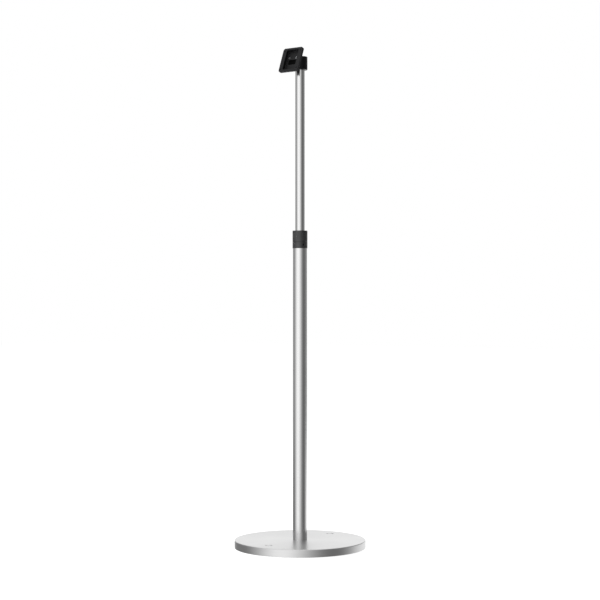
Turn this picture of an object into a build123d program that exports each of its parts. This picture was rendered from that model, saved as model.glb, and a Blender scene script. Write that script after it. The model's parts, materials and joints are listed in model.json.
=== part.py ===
from build123d import *
import os
from math import radians, tan

os.makedirs("parts", exist_ok=True)

# The stand stands on Z = 0 with its pole on the Z axis, and its terminal plate faces -Y.
# All sizes are in millimetres.

# Clearances
seat_gap = 0.05
turn_gap = 0.15
slide_gap = 0.25
swing_gap = 0.5

# Small edges and run-outs that several pieces share
lead_chamfer = 1.0
thread_chamfer = 0.8
head_chamfer = 0.4
thread_run_out = 2.0
nut_overrun = 0.8

# Round base
base_radius = 175.0
base_height = 21.0
cover_wall = 1.5
cover_edge_radius = 2.0
cover_lift = 0.5
weight_lift = 2.0
weight_edge_chamfer = 1.0
foot_radius = 12.0
foot_recess = 1.0
foot_edge_chamfer = 0.4
foot_inset = 25.0
foot_count = 6

# Floor anchor holes, on the line that the terminal faces along
anchor_inset = 42.0
anchor_count = 2
anchor_hole_radius = 4.5
cup_rim_radius = 11.0
cup_wall = 1.0

# Lower tube and what holds its foot
lower_tube_radius = 19.05
lower_tube_wall = 1.5
tube_seat_depth = 1.5
foot_web = 4.5
foot_plug_length = 30.0
foot_bolt_radius = 5.0
foot_bolt_reach = 24.0
foot_bolt_head_width = 16.0
foot_bolt_head_height = 6.4
foot_washer_radius = 14.0
foot_washer_thickness = 2.0
spring_washer_radius = 9.0
spring_washer_thickness = 2.0
spring_washer_split = 1.2
washer_pocket_gap = 1.5
dowel_radius = 2.0
dowel_wall = 0.6
dowel_offset = 12.0
dowel_length = 13.0
dowel_slit = 0.8

# Collar and lock nut at the top of the lower tube
lower_tube_top = 800.0
collar_radius = 20.0
spigot_length = 40.0
shoulder_height = 16.5
neck_radius = 16.5
neck_height = 19.5
collet_pocket_depth = 6.0
collet_wall = 1.5
collet_head_radius = 16.2
collet_head_height = 6.5
collet_head_top_radius = 14.4
collet_slot = 1.5
nut_seam = 0.3
nut_height = 30.2
nut_edge_chamfer = 0.6
nut_flute_count = 30
nut_flute_radius = 1.2
nut_flute_depth = 0.3
nut_flute_margin = 4.0
nut_lip = 1.2
wiper_thickness = 2.0
wiper_radius = 15.0
grub_radius = 2.5
grub_length = 6.0
grub_socket_width = 2.5
grub_socket_depth = 2.5
height_screw_rise = 9.0
height_screw_angle = -24.0

# Upper tube
upper_tube_radius = 12.7
upper_tube_wall = 1.5
upper_tube_length = 691.0
raise_travel = 120.0
stop_gap = 1.0
bush_grip = 39.0
bush_lip = 3.0
bush_slack = 0.2
pin_radius = 2.0
pin_height = 12.0
pin_recess = 0.3

# Head hub, which turns on the plug in the top of the upper tube
hub_radius = 20.0
hub_lap = 14.0
hub_height = 35.0
hub_edge_radius = 1.2
hub_web = 5.0
hub_cavity_radius = 9.0
plug_length = 28.0
plug_flange = 2.0
pan_washer_thickness = 1.0
pan_bolt_radius = 4.0
pan_bolt_reach = 22.0
pan_bolt_head_width = 13.0
pan_bolt_head_height = 5.3
disc_spring_radius = 8.0
disc_spring_height = 2.0
disc_spring_wall = 1.2
cap_radius = 11.0
cap_thickness = 1.5
cap_spigot = 2.5
cap_spigot_wall = 1.2
cap_edge_radius = 0.5
hub_grub_height = 8.0

# Tilt pivot, ahead of the hub
pivot_ahead = 19.0
pivot_rise = 25.0
ear_radius = 5.6
ear_inside = 5.2
ear_thickness = 5.8
ear_root = 6.0
tilt_bolt_radius = 2.0
tilt_bolt_head_radius = 3.5
tilt_bolt_head_height = 3.2
tilt_socket_width = 2.5
tilt_socket_depth = 1.8
tilt_nut_width = 7.0
tilt_nut_height = 3.2
spot_face_margin = 1.0
tilt_washer_radius = 5.0
tilt_washer_thickness = 0.7
rest_tilt = 21.0
back_tilt = 60.0

# Terminal plate: two flat side flanges with a deep pan between them
plate_width = 65.0
plate_height = 70.0
plate_corner_radius = 6.5
plate_skirt_depth = 6.5
plate_front_wall = 2.5
plate_skirt_wall = 2.0
plate_edge_radius = 0.8
pan_width = 40.0
pan_height = 58.0
pan_depth = 9.5
pan_floor = 2.0
pan_wall = 2.0
pan_corner_radius = 3.0
pivot_above_centre = 9.0
window_width = 26.0
window_height = 14.0
window_below_centre = 3.5
window_corner_radius = 2.0
terminal_hole_radius = 1.6
terminal_hole_offset = 26.0
terminal_boss_radius = 3.4

# Bracket screwed behind the pan, which closes the window from behind
flange_width = 34.0
flange_above_pivot = 6.0
flange_below_window = 2.0
flange_thickness = 2.5
flange_corner_radius = 2.0
plate_screw_radius = 2.0
plate_screw_offset = 12.0
plate_screw_head_radius = 3.6
plate_screw_head_height = 2.2
plate_screw_socket_width = 2.5
plate_screw_socket_depth = 1.4

# Sizes that follow from the ones above. The cups are 90 degree countersinks.
foot_circle_radius = base_radius - foot_inset
anchor_circle_radius = base_radius - anchor_inset
cup_depth = cup_rim_radius - cup_wall - anchor_hole_radius
tube_foot = base_height - cover_wall - tube_seat_depth
web_bottom = tube_foot - foot_web
lower_bore_radius = lower_tube_radius - lower_tube_wall
upper_bore_radius = upper_tube_radius - upper_tube_wall
spigot_bottom = lower_tube_top - spigot_length
shoulder_top = lower_tube_top + shoulder_height
neck_top = shoulder_top + neck_height
collet_bottom = neck_top - collet_pocket_depth
collet_bore_radius = upper_tube_radius + seat_gap
collet_sleeve_radius = collet_bore_radius + collet_wall
collet_top = neck_top + turn_gap + collet_head_height
nut_bottom = shoulder_top + nut_seam
nut_top = nut_bottom + nut_height
wiper_top = nut_top - nut_lip
wiper_bottom = wiper_top - wiper_thickness
bush_top = spigot_bottom - raise_travel - stop_gap
upper_tube_foot = bush_top - bush_grip
upper_tube_top = upper_tube_foot + upper_tube_length
bush_bottom = upper_tube_foot - bush_lip
hub_bottom = upper_tube_top - hub_lap
hub_top = hub_bottom + hub_height
plug_top = upper_tube_top + plug_flange
hub_ceiling = plug_top + pan_washer_thickness + seat_gap
cavity_floor = hub_ceiling + hub_web
pan_bolt_seat = cavity_floor + seat_gap + disc_spring_height
pivot_height = hub_bottom + pivot_rise
ear_outside = ear_inside + ear_thickness
lug_half_width = ear_inside - tilt_washer_thickness - seat_gap
pan_back = pan_depth + pan_floor
flange_top = pivot_above_centre + flange_above_pivot
flange_bottom = -window_below_centre - window_height / 2 - flange_below_window
flange_height = flange_top - flange_bottom
flange_centre = (flange_top + flange_bottom) / 2
flange_back = pan_back + flange_thickness
pivot_back = flange_back + swing_gap + ear_radius

# Places
pivot = Vector(0, -pivot_ahead, pivot_height)
pivot_plane = Plane(origin=pivot, x_dir=(0, 1, 0), z_dir=(1, 0, 0))
tilt_frame = Plane(origin=pivot, x_dir=(1, 0, 0), z_dir=(0, -1, 0)).rotated((-rest_tilt, 0, 0))
plate_front = Plane(
    origin=pivot + tilt_frame.z_dir * pivot_back - tilt_frame.y_dir * pivot_above_centre,
    x_dir=tilt_frame.x_dir,
    z_dir=tilt_frame.z_dir,
)
cover_underside = Plane.XY.offset(base_height - cover_wall)
anchor_places = PolarLocations(anchor_circle_radius, anchor_count, start_angle=90)
foot_places = PolarLocations(foot_circle_radius, foot_count)

# Base cover, a spun stainless shell over the weight
with BuildPart() as base_cover:
    with BuildSketch(Plane.XY.offset(cover_lift)):
        Circle(base_radius)
    extrude(amount=base_height - cover_lift)
    fillet(base_cover.edges().group_by(Axis.Z)[-1], cover_edge_radius)
    with BuildSketch(Plane.XY.offset(cover_lift)):
        Circle(base_radius - cover_wall)
    extrude(amount=base_height - cover_wall - cover_lift, mode=Mode.SUBTRACT)
    with BuildSketch(cover_underside):
        Circle(lower_tube_radius + seat_gap)
        with anchor_places:
            Circle(cup_rim_radius + seat_gap)
    extrude(amount=cover_wall, mode=Mode.SUBTRACT)
base_cover.part.label = "base_cover"

# Base weight, a steel disc with a seat for the tube and pockets for the feet
with BuildPart() as base_weight:
    with BuildSketch(Plane.XY.offset(weight_lift)):
        Circle(base_radius - cover_wall - slide_gap)
        with anchor_places:
            Circle(anchor_hole_radius, mode=Mode.SUBTRACT)
    extrude(amount=base_height - cover_wall - weight_lift)
    chamfer(base_weight.faces().sort_by(Axis.Z)[-1].outer_wire().edges(), weight_edge_chamfer)
    with BuildSketch(Plane.XY.offset(tube_foot)):
        Circle(lower_tube_radius + seat_gap)
    extrude(amount=tube_seat_depth, mode=Mode.SUBTRACT)
    with BuildSketch(Plane.XY.offset(weight_lift)):
        Circle(foot_washer_radius + washer_pocket_gap)
    extrude(amount=web_bottom - weight_lift, mode=Mode.SUBTRACT)
    with BuildSketch(Plane.XY.offset(web_bottom)):
        Circle(foot_bolt_radius + slide_gap)
        with Locations((dowel_offset, 0)):
            Circle(dowel_radius + seat_gap)
    extrude(amount=foot_web, mode=Mode.SUBTRACT)
    with BuildSketch(Plane.XY.offset(weight_lift)):
        with foot_places:
            Circle(foot_radius + seat_gap)
    extrude(amount=foot_recess, mode=Mode.SUBTRACT)
    with BuildSketch(Plane.XY.offset(base_height - cup_depth)):
        with anchor_places:
            Circle(cup_rim_radius - cup_depth + seat_gap)
    extrude(amount=cup_depth, taper=-45, mode=Mode.SUBTRACT)
base_weight.part.label = "base_weight"

# Rubber feet, glued in the pockets
with BuildPart() as rubber_feet:
    with BuildSketch():
        with foot_places:
            Circle(foot_radius)
    extrude(amount=weight_lift + foot_recess)
    chamfer(rubber_feet.edges().group_by(Axis.Z)[0], foot_edge_chamfer)
rubber_feet.part.label = "rubber_feet"

# Countersunk cups in the anchor holes, flush with the cover
with BuildPart() as anchor_cups:
    with BuildSketch(Plane.XY.offset(base_height - cup_depth)):
        with anchor_places:
            Circle(cup_rim_radius - cup_depth)
    extrude(amount=cup_depth, taper=-45)
    with BuildSketch(Plane.XY.offset(base_height - cup_depth)):
        with anchor_places:
            Circle(cup_rim_radius - cup_depth - cup_wall)
    extrude(amount=cup_depth, taper=-45, mode=Mode.SUBTRACT)
anchor_cups.part.label = "anchor_cups"

# Lower tube
with BuildPart() as lower_tube:
    with BuildSketch(Plane.XY.offset(tube_foot)):
        Circle(lower_tube_radius)
        Circle(lower_bore_radius, mode=Mode.SUBTRACT)
    extrude(amount=lower_tube_top - tube_foot)
lower_tube.part.label = "lower_tube"

# Foot plug, welded into the lower tube and drawn down by the foot bolt
with BuildPart() as foot_plug:
    with BuildSketch(Plane.XY.offset(tube_foot)):
        Circle(lower_bore_radius - seat_gap)
        Circle(foot_bolt_radius + seat_gap, mode=Mode.SUBTRACT)
    extrude(amount=foot_plug_length)
    chamfer(foot_plug.edges().group_by(Axis.Z)[-1], lead_chamfer)
    with BuildSketch(Plane.XY.offset(tube_foot)):
        with Locations((dowel_offset, 0)):
            Circle(dowel_radius + seat_gap)
    extrude(amount=dowel_length - foot_web + thread_run_out, mode=Mode.SUBTRACT)
foot_plug.part.label = "foot_plug"

with BuildPart() as foot_washer:
    with BuildSketch(Plane.XY.offset(web_bottom - foot_washer_thickness)):
        Circle(foot_washer_radius)
        Circle(foot_bolt_radius + slide_gap, mode=Mode.SUBTRACT)
    extrude(amount=foot_washer_thickness)
foot_washer.part.label = "foot_washer"

spring_washer_bottom = web_bottom - foot_washer_thickness - spring_washer_thickness
with BuildPart() as foot_spring_washer:
    with BuildSketch(Plane.XY.offset(spring_washer_bottom)):
        Circle(spring_washer_radius)
        Circle(foot_bolt_radius + slide_gap, mode=Mode.SUBTRACT)
        with Locations((spring_washer_radius / 2, 0)):
            Rectangle(spring_washer_radius, spring_washer_split, mode=Mode.SUBTRACT)
    extrude(amount=spring_washer_thickness)
foot_spring_washer.part.label = "foot_spring_washer"

with BuildPart() as foot_bolt:
    with BuildSketch(Plane.XY.offset(spring_washer_bottom - foot_bolt_head_height)):
        RegularPolygon(foot_bolt_head_width / 2, 6, major_radius=False)
    extrude(amount=foot_bolt_head_height)
    with BuildSketch(Plane.XY.offset(spring_washer_bottom)):
        Circle(foot_bolt_radius)
    extrude(amount=tube_foot + foot_bolt_reach - spring_washer_bottom)
    chamfer(foot_bolt.edges().group_by(Axis.Z)[-1], thread_chamfer)
foot_bolt.part.label = "foot_bolt"

# Slit spring dowel that stops the tube turning on the weight
with BuildPart() as foot_dowel:
    with BuildSketch(Plane.XY.offset(web_bottom)):
        with Locations((dowel_offset, 0)):
            Circle(dowel_radius)
            Circle(dowel_radius - dowel_wall, mode=Mode.SUBTRACT)
        with Locations((dowel_offset + dowel_radius, 0)):
            Rectangle(2 * dowel_wall + dowel_slit, dowel_slit, mode=Mode.SUBTRACT)
    extrude(amount=dowel_length)
foot_dowel.part.label = "foot_dowel"

# Collar body: a spigot in the lower tube, a shoulder on it and a neck for the lock nut
height_screw_rest = Plane.XY.offset(lower_tube_top + height_screw_rise).rotated((0, 0, height_screw_angle))
height_screw_axis = Plane(
    origin=height_screw_rest.origin + height_screw_rest.x_dir * (upper_tube_radius + seat_gap),
    x_dir=(0, 0, 1),
    z_dir=height_screw_rest.x_dir,
)
with BuildPart() as collar_body:
    with BuildSketch(Plane.XY.offset(spigot_bottom)):
        Circle(lower_bore_radius - seat_gap)
    extrude(amount=spigot_length)
    with BuildSketch(Plane.XY.offset(lower_tube_top)):
        Circle(collar_radius)
    extrude(amount=shoulder_height)
    chamfer(collar_body.edges().group_by(Axis.Z)[-1], nut_edge_chamfer)
    with BuildSketch(Plane.XY.offset(shoulder_top)):
        Circle(neck_radius)
    extrude(amount=neck_height)
    with BuildSketch(Plane.XY.offset(spigot_bottom)):
        Circle(upper_tube_radius + slide_gap)
    extrude(amount=neck_top - spigot_bottom, mode=Mode.SUBTRACT)
    with BuildSketch(Plane.XY.offset(collet_bottom)):
        Circle(collet_sleeve_radius + turn_gap)
    extrude(amount=collet_pocket_depth, mode=Mode.SUBTRACT)
    with BuildSketch(height_screw_axis):
        Circle(grub_radius + seat_gap)
    extrude(amount=collar_radius, mode=Mode.SUBTRACT)
collar_body.part.label = "collar_body"

# Socket screw in the collar that fixes the height
with BuildPart() as height_screw:
    with BuildSketch(height_screw_axis):
        Circle(grub_radius)
    extrude(amount=grub_length)
    with BuildSketch(height_screw_axis.offset(grub_length - grub_socket_depth)):
        RegularPolygon(grub_socket_width / 2, 6, major_radius=False)
    extrude(amount=grub_socket_depth, mode=Mode.SUBTRACT)
height_screw.part.label = "height_screw"

# Split collet that the lock nut draws in on the upper tube
with BuildPart() as collet:
    with BuildSketch(Plane.XY.offset(collet_bottom + seat_gap)):
        Circle(collet_sleeve_radius)
    extrude(amount=neck_top + turn_gap - collet_bottom - seat_gap)
    with BuildSketch(Plane.XY.offset(neck_top + turn_gap)):
        Circle(collet_head_radius)
    with BuildSketch(Plane.XY.offset(collet_top)):
        Circle(collet_head_top_radius)
    loft()
    with BuildSketch(Plane.XY.offset(collet_bottom)):
        Circle(collet_bore_radius)
        with Locations((-lower_tube_radius / 2, 0)):
            Rectangle(lower_tube_radius, collet_slot)
    extrude(amount=collet_top - collet_bottom, mode=Mode.SUBTRACT)
collet.part.label = "collet"

# Lock nut with a tapered bore over the collet and shallow grip flutes
with BuildPart() as lock_nut:
    with BuildSketch(Plane.XY.offset(nut_bottom)):
        Circle(collar_radius)
    extrude(amount=nut_height)
    chamfer(lock_nut.edges().group_by(Axis.Z)[0], nut_edge_chamfer)
    chamfer(lock_nut.edges().group_by(Axis.Z)[-1], nut_edge_chamfer)
    with BuildSketch(Plane.XY.offset(nut_bottom + nut_flute_margin)):
        with PolarLocations(collar_radius + nut_flute_radius - nut_flute_depth, nut_flute_count):
            Circle(nut_flute_radius)
    extrude(amount=nut_height - 2 * nut_flute_margin, mode=Mode.SUBTRACT)
    with BuildSketch(Plane.XY.offset(nut_bottom)):
        Circle(neck_radius + turn_gap)
    extrude(amount=neck_top + turn_gap - nut_bottom, mode=Mode.SUBTRACT)
    with BuildSketch(Plane.XY.offset(neck_top + turn_gap)):
        Circle(collet_head_radius + turn_gap)
    with BuildSketch(Plane.XY.offset(collet_top + turn_gap)):
        Circle(collet_head_top_radius + turn_gap)
    loft(mode=Mode.SUBTRACT)
    with BuildSketch(Plane.XY.offset(wiper_bottom)):
        Circle(wiper_radius)
    extrude(amount=wiper_thickness, mode=Mode.SUBTRACT)
    with BuildSketch(Plane.XY.offset(nut_bottom)):
        Circle(upper_tube_radius + slide_gap)
    extrude(amount=nut_height, mode=Mode.SUBTRACT)
lock_nut.part.label = "lock_nut"

# Felt ring that wipes the upper tube
with BuildPart() as wiper_ring:
    with BuildSketch(Plane.XY.offset(wiper_bottom)):
        Circle(wiper_radius - seat_gap)
        Circle(upper_tube_radius + seat_gap, mode=Mode.SUBTRACT)
    extrude(amount=wiper_thickness)
wiper_ring.part.label = "wiper_ring"

# Upper tube
pin_axis = Plane(origin=(0, 0, upper_tube_foot + pin_height), x_dir=(0, 1, 0), z_dir=(1, 0, 0))
with BuildPart() as upper_tube:
    with BuildSketch(Plane.XY.offset(upper_tube_foot)):
        Circle(upper_tube_radius)
        Circle(upper_bore_radius, mode=Mode.SUBTRACT)
    extrude(amount=upper_tube_top - upper_tube_foot)
    with BuildSketch(pin_axis):
        Circle(pin_radius + seat_gap)
    extrude(amount=lower_tube_radius, both=True, mode=Mode.SUBTRACT)
upper_tube.part.label = "upper_tube"

# Guide bush on the foot of the upper tube, which stops under the collar's spigot
guide_radius = lower_bore_radius - bush_slack
with BuildPart() as guide_bush:
    with BuildSketch(Plane.XY.offset(bush_bottom)):
        Circle(guide_radius)
        Circle(upper_bore_radius, mode=Mode.SUBTRACT)
    extrude(amount=bush_top - bush_bottom)
    chamfer(guide_bush.edges().group_by(Axis.Z)[0].sort_by(SortBy.RADIUS)[-1], lead_chamfer)
    chamfer(guide_bush.edges().group_by(Axis.Z)[-1].sort_by(SortBy.RADIUS)[-1], lead_chamfer)
    with BuildSketch(Plane.XY.offset(upper_tube_foot)):
        Circle(upper_tube_radius + seat_gap)
    extrude(amount=bush_top - upper_tube_foot, mode=Mode.SUBTRACT)
    with BuildSketch(pin_axis):
        Circle(pin_radius + seat_gap)
    extrude(amount=lower_tube_radius, both=True, mode=Mode.SUBTRACT)
guide_bush.part.label = "guide_bush"

# Two pins through the bush and the tube wall
with BuildPart() as bush_pins:
    for side in (1, -1):
        with BuildSketch(pin_axis.offset(side * upper_bore_radius)):
            Circle(pin_radius)
        extrude(amount=side * (guide_radius - pin_recess - upper_bore_radius))
bush_pins.part.label = "bush_pins"

# Plug pressed into the top of the upper tube, with the thread for the pan bolt
with BuildPart() as mast_plug:
    with BuildSketch(Plane.XY.offset(upper_tube_top - plug_length)):
        Circle(upper_bore_radius - seat_gap)
    extrude(amount=plug_length)
    chamfer(mast_plug.edges().group_by(Axis.Z)[0], lead_chamfer)
    with BuildSketch(Plane.XY.offset(upper_tube_top)):
        Circle(upper_tube_radius)
    extrude(amount=plug_flange)
    with BuildSketch(Plane.XY.offset(plug_top - pan_bolt_reach - thread_run_out)):
        Circle(pan_bolt_radius + seat_gap)
    extrude(amount=pan_bolt_reach + thread_run_out, mode=Mode.SUBTRACT)
mast_plug.part.label = "mast_plug"

# Slip washer between the plug and the hub
with BuildPart() as pan_washer:
    with BuildSketch(Plane.XY.offset(plug_top)):
        Circle(upper_tube_radius)
        Circle(pan_bolt_radius + seat_gap, mode=Mode.SUBTRACT)
    extrude(amount=pan_washer_thickness)
pan_washer.part.label = "pan_washer"

# Disc spring that sets the drag of the pan
with BuildPart() as pan_spring:
    with BuildSketch(Plane.XZ):
        with BuildLine():
            Polyline(
                (pan_bolt_radius + slide_gap, pan_bolt_seat),
                (pan_bolt_radius + slide_gap, pan_bolt_seat - disc_spring_wall),
                (disc_spring_radius, pan_bolt_seat - disc_spring_height),
                (disc_spring_radius, pan_bolt_seat - disc_spring_height + disc_spring_wall),
                close=True,
            )
        make_face()
    revolve(axis=Axis.Z)
pan_spring.part.label = "pan_spring"

with BuildPart() as pan_bolt:
    with BuildSketch(Plane.XY.offset(plug_top - pan_bolt_reach)):
        Circle(pan_bolt_radius)
    extrude(amount=pan_bolt_seat - plug_top + pan_bolt_reach)
    chamfer(pan_bolt.edges().group_by(Axis.Z)[0], thread_chamfer)
    with BuildSketch(Plane.XY.offset(pan_bolt_seat)):
        RegularPolygon(pan_bolt_head_width / 2, 6, major_radius=False)
    extrude(amount=pan_bolt_head_height)
pan_bolt.part.label = "pan_bolt"

# Hub: turns on the plug, with a clevis for the tilt pivot and a slope that clears the tilted plate
hub_grub_axis = Plane(
    origin=(0, upper_tube_radius + seat_gap, hub_bottom + hub_grub_height), x_dir=(1, 0, 0), z_dir=(0, 1, 0)
)
back_limit = Plane(origin=pivot, x_dir=(1, 0, 0), z_dir=(0, -1, 0)).rotated((-back_tilt, 0, 0))
slot_radius = ear_radius + swing_gap
with BuildPart() as hub:
    with BuildSketch(Plane.XY.offset(hub_bottom)):
        Circle(hub_radius)
    extrude(amount=hub_height)
    fillet(hub.edges().group_by(Axis.Z)[0], hub_edge_radius)
    fillet(hub.edges().group_by(Axis.Z)[-1], hub_edge_radius)
    with BuildSketch(back_limit.offset(ear_radius + seat_gap)):
        Rectangle(4 * hub_radius, 4 * hub_radius)
    extrude(amount=hub_height, mode=Mode.SUBTRACT)
    with BuildSketch(pivot_plane.offset(-ear_outside)):
        Circle(ear_radius)
        with Locations((ear_root / 2, 0)):
            Rectangle(ear_root, 2 * ear_radius)
    extrude(amount=2 * ear_outside)
    with BuildSketch(pivot_plane.offset(-ear_inside)):
        with Locations((slot_radius, -slot_radius)):
            Rectangle(hub_radius, hub_height, align=(Align.MAX, Align.MIN))
    extrude(amount=2 * ear_inside, mode=Mode.SUBTRACT)
    with BuildSketch(pivot_plane.offset(-ear_outside)):
        Circle(tilt_bolt_radius + seat_gap)
    extrude(amount=2 * ear_outside, mode=Mode.SUBTRACT)
    for side in (1, -1):
        with BuildSketch(pivot_plane.offset(side * ear_outside)):
            Circle(tilt_nut_width / 2 + spot_face_margin)
        extrude(amount=side * hub_radius, mode=Mode.SUBTRACT)
    with BuildSketch(Plane.XY.offset(hub_bottom)):
        Circle(upper_tube_radius + slide_gap)
    extrude(amount=hub_ceiling - hub_bottom, mode=Mode.SUBTRACT)
    with BuildSketch(Plane.XY.offset(hub_ceiling)):
        Circle(pan_bolt_radius + slide_gap)
    extrude(amount=hub_web, mode=Mode.SUBTRACT)
    with BuildSketch(Plane.XY.offset(cavity_floor)):
        Circle(hub_cavity_radius)
    extrude(amount=hub_top - cavity_floor, mode=Mode.SUBTRACT)
    with BuildSketch(Plane.XY.offset(hub_top - cap_thickness)):
        Circle(cap_radius + seat_gap)
    extrude(amount=cap_thickness, mode=Mode.SUBTRACT)
    with BuildSketch(hub_grub_axis):
        Circle(grub_radius + seat_gap)
    extrude(amount=hub_radius, mode=Mode.SUBTRACT)
hub.part.label = "hub"

# Push-in cap over the pan bolt
with BuildPart() as hub_cap:
    with BuildSketch(Plane.XY.offset(hub_top - cap_thickness)):
        Circle(cap_radius)
    extrude(amount=cap_thickness)
    fillet(hub_cap.edges().group_by(Axis.Z)[-1], cap_edge_radius)
    with BuildSketch(Plane.XY.offset(hub_top - cap_thickness - cap_spigot)):
        Circle(hub_cavity_radius - seat_gap)
        Circle(hub_cavity_radius - seat_gap - cap_spigot_wall, mode=Mode.SUBTRACT)
    extrude(amount=cap_spigot)
hub_cap.part.label = "hub_cap"

# Socket screw at the back of the hub that stops the head turning
with BuildPart() as hub_lock_screw:
    with BuildSketch(hub_grub_axis):
        Circle(grub_radius)
    extrude(amount=grub_length)
    with BuildSketch(hub_grub_axis.offset(grub_length - grub_socket_depth)):
        RegularPolygon(grub_socket_width / 2, 6, major_radius=False)
    extrude(amount=grub_socket_depth, mode=Mode.SUBTRACT)
hub_lock_screw.part.label = "hub_lock_screw"

# Tilt bolt, its nut and the two slip washers beside the bracket's lug
tilt_thread_end = ear_outside + tilt_nut_height + nut_overrun
with BuildPart() as tilt_bolt:
    with BuildSketch(pivot_plane.offset(-tilt_thread_end)):
        Circle(tilt_bolt_radius)
    extrude(amount=tilt_thread_end + ear_outside)
    with BuildSketch(pivot_plane.offset(ear_outside)):
        Circle(tilt_bolt_head_radius)
    extrude(amount=tilt_bolt_head_height)
    chamfer(tilt_bolt.edges().group_by(Axis.X)[-1], head_chamfer)
    with BuildSketch(pivot_plane.offset(ear_outside + tilt_bolt_head_height - tilt_socket_depth)):
        RegularPolygon(tilt_socket_width / 2, 6, major_radius=False)
    extrude(amount=tilt_socket_depth, mode=Mode.SUBTRACT)
tilt_bolt.part.label = "tilt_bolt"

with BuildPart() as tilt_nut:
    with BuildSketch(pivot_plane.offset(-ear_outside - tilt_nut_height)):
        RegularPolygon(tilt_nut_width / 2, 6, major_radius=False)
        Circle(tilt_bolt_radius + seat_gap, mode=Mode.SUBTRACT)
    extrude(amount=tilt_nut_height)
tilt_nut.part.label = "tilt_nut"

with BuildPart() as tilt_washers:
    for inner_face in (lug_half_width + seat_gap, -ear_inside):
        with BuildSketch(pivot_plane.offset(inner_face)):
            Circle(tilt_washer_radius)
            Circle(tilt_bolt_radius + seat_gap, mode=Mode.SUBTRACT)
        extrude(amount=tilt_washer_thickness)
tilt_washers.part.label = "tilt_washers"

# Terminal plate, a moulding whose side flanges take the terminal
screw_places = [(side * plate_screw_offset, pivot_above_centre) for side in (1, -1)]
terminal_places = GridLocations(2 * terminal_hole_offset, 2 * terminal_hole_offset, 2, 2)
pan_outer_width = pan_width + 2 * pan_wall
pan_outer_height = pan_height + 2 * pan_wall
skirt_inner_width = plate_width - 2 * plate_skirt_wall
skirt_inner_height = plate_height - 2 * plate_skirt_wall
with BuildPart() as terminal_plate:
    with BuildSketch(plate_front.offset(-plate_skirt_depth)):
        RectangleRounded(plate_width, plate_height, plate_corner_radius)
    extrude(amount=plate_skirt_depth)
    front_rim = terminal_plate.faces().sort_by(Axis((0, 0, 0), plate_front.z_dir))[-1].edges()
    fillet(front_rim, plate_edge_radius)
    with BuildSketch(plate_front.offset(-plate_skirt_depth)):
        RectangleRounded(skirt_inner_width, skirt_inner_height, plate_corner_radius - plate_skirt_wall)
        with terminal_places:
            Circle(terminal_boss_radius, mode=Mode.SUBTRACT)
    extrude(amount=plate_skirt_depth - plate_front_wall, mode=Mode.SUBTRACT)
    with BuildSketch(plate_front.offset(-pan_back)):
        RectangleRounded(pan_outer_width, pan_outer_height, pan_corner_radius + pan_wall)
    extrude(amount=pan_back - plate_edge_radius)
    with BuildSketch(plate_front.offset(-pan_depth)):
        RectangleRounded(pan_width, pan_height, pan_corner_radius)
    extrude(amount=pan_depth, mode=Mode.SUBTRACT)
    with BuildSketch(plate_front.offset(-pan_back)):
        with Locations((0, -window_below_centre)):
            RectangleRounded(window_width, window_height, window_corner_radius)
        with Locations(*screw_places):
            Circle(plate_screw_radius + turn_gap)
    extrude(amount=pan_floor, mode=Mode.SUBTRACT)
    with BuildSketch(plate_front.offset(-plate_skirt_depth)):
        with terminal_places:
            Circle(terminal_hole_radius)
    extrude(amount=plate_skirt_depth, mode=Mode.SUBTRACT)
terminal_plate.part.label = "terminal_plate"

# Tilt bracket: a flange behind the pan and a lug round the tilt bolt
with BuildPart() as tilt_bracket:
    with BuildSketch(plate_front.offset(-flange_back)):
        with Locations((0, flange_centre)):
            RectangleRounded(flange_width, flange_height, flange_corner_radius)
    extrude(amount=flange_thickness)
    with BuildSketch(plate_front.offset(-pivot_back)):
        with Locations((0, pivot_above_centre)):
            Rectangle(2 * lug_half_width, 2 * ear_radius)
    extrude(amount=pivot_back - flange_back)
    with BuildSketch(pivot_plane.offset(-lug_half_width)):
        Circle(ear_radius)
    extrude(amount=2 * lug_half_width)
    with BuildSketch(pivot_plane.offset(-lug_half_width)):
        Circle(tilt_bolt_radius + seat_gap)
    extrude(amount=2 * lug_half_width, mode=Mode.SUBTRACT)
    with BuildSketch(plate_front.offset(-flange_back)):
        with Locations(*screw_places):
            Circle(plate_screw_radius + seat_gap)
    extrude(amount=flange_thickness, mode=Mode.SUBTRACT)
tilt_bracket.part.label = "tilt_bracket"

# Two bright screws through the pan's floor into the bracket
with BuildPart() as plate_screws:
    with BuildSketch(plate_front.offset(-flange_back)):
        with Locations(*screw_places):
            Circle(plate_screw_radius)
    extrude(amount=flange_thickness + pan_floor)
    with BuildSketch(plate_front.offset(-pan_depth)):
        with Locations(*screw_places):
            Circle(plate_screw_head_radius)
    extrude(amount=plate_screw_head_height)
    with BuildSketch(plate_front.offset(plate_screw_head_height - pan_depth - plate_screw_socket_depth)):
        with Locations(*screw_places):
            RegularPolygon(plate_screw_socket_width / 2, 6, major_radius=False)
    extrude(amount=plate_screw_socket_depth, mode=Mode.SUBTRACT)
plate_screws.part.label = "plate_screws"

pieces = (
    base_cover, base_weight, rubber_feet, anchor_cups, lower_tube, foot_plug, foot_washer,
    foot_spring_washer, foot_bolt, foot_dowel, collar_body, height_screw, collet, lock_nut,
    wiper_ring, upper_tube, guide_bush, bush_pins, mast_plug, pan_washer, pan_spring, pan_bolt,
    hub, hub_cap, hub_lock_screw, tilt_bolt, tilt_nut, tilt_washers, terminal_plate,
    tilt_bracket, plate_screws,
)
for piece in pieces:
    export_step(piece.part, f"parts/{piece.part.label}.step")
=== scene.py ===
import json
import logging
from abc import ABC, abstractmethod
from dataclasses import dataclass
from enum import Enum
from functools import cache
from math import cos, inf, pi, radians, sin
from typing import Iterator, Sequence

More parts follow.
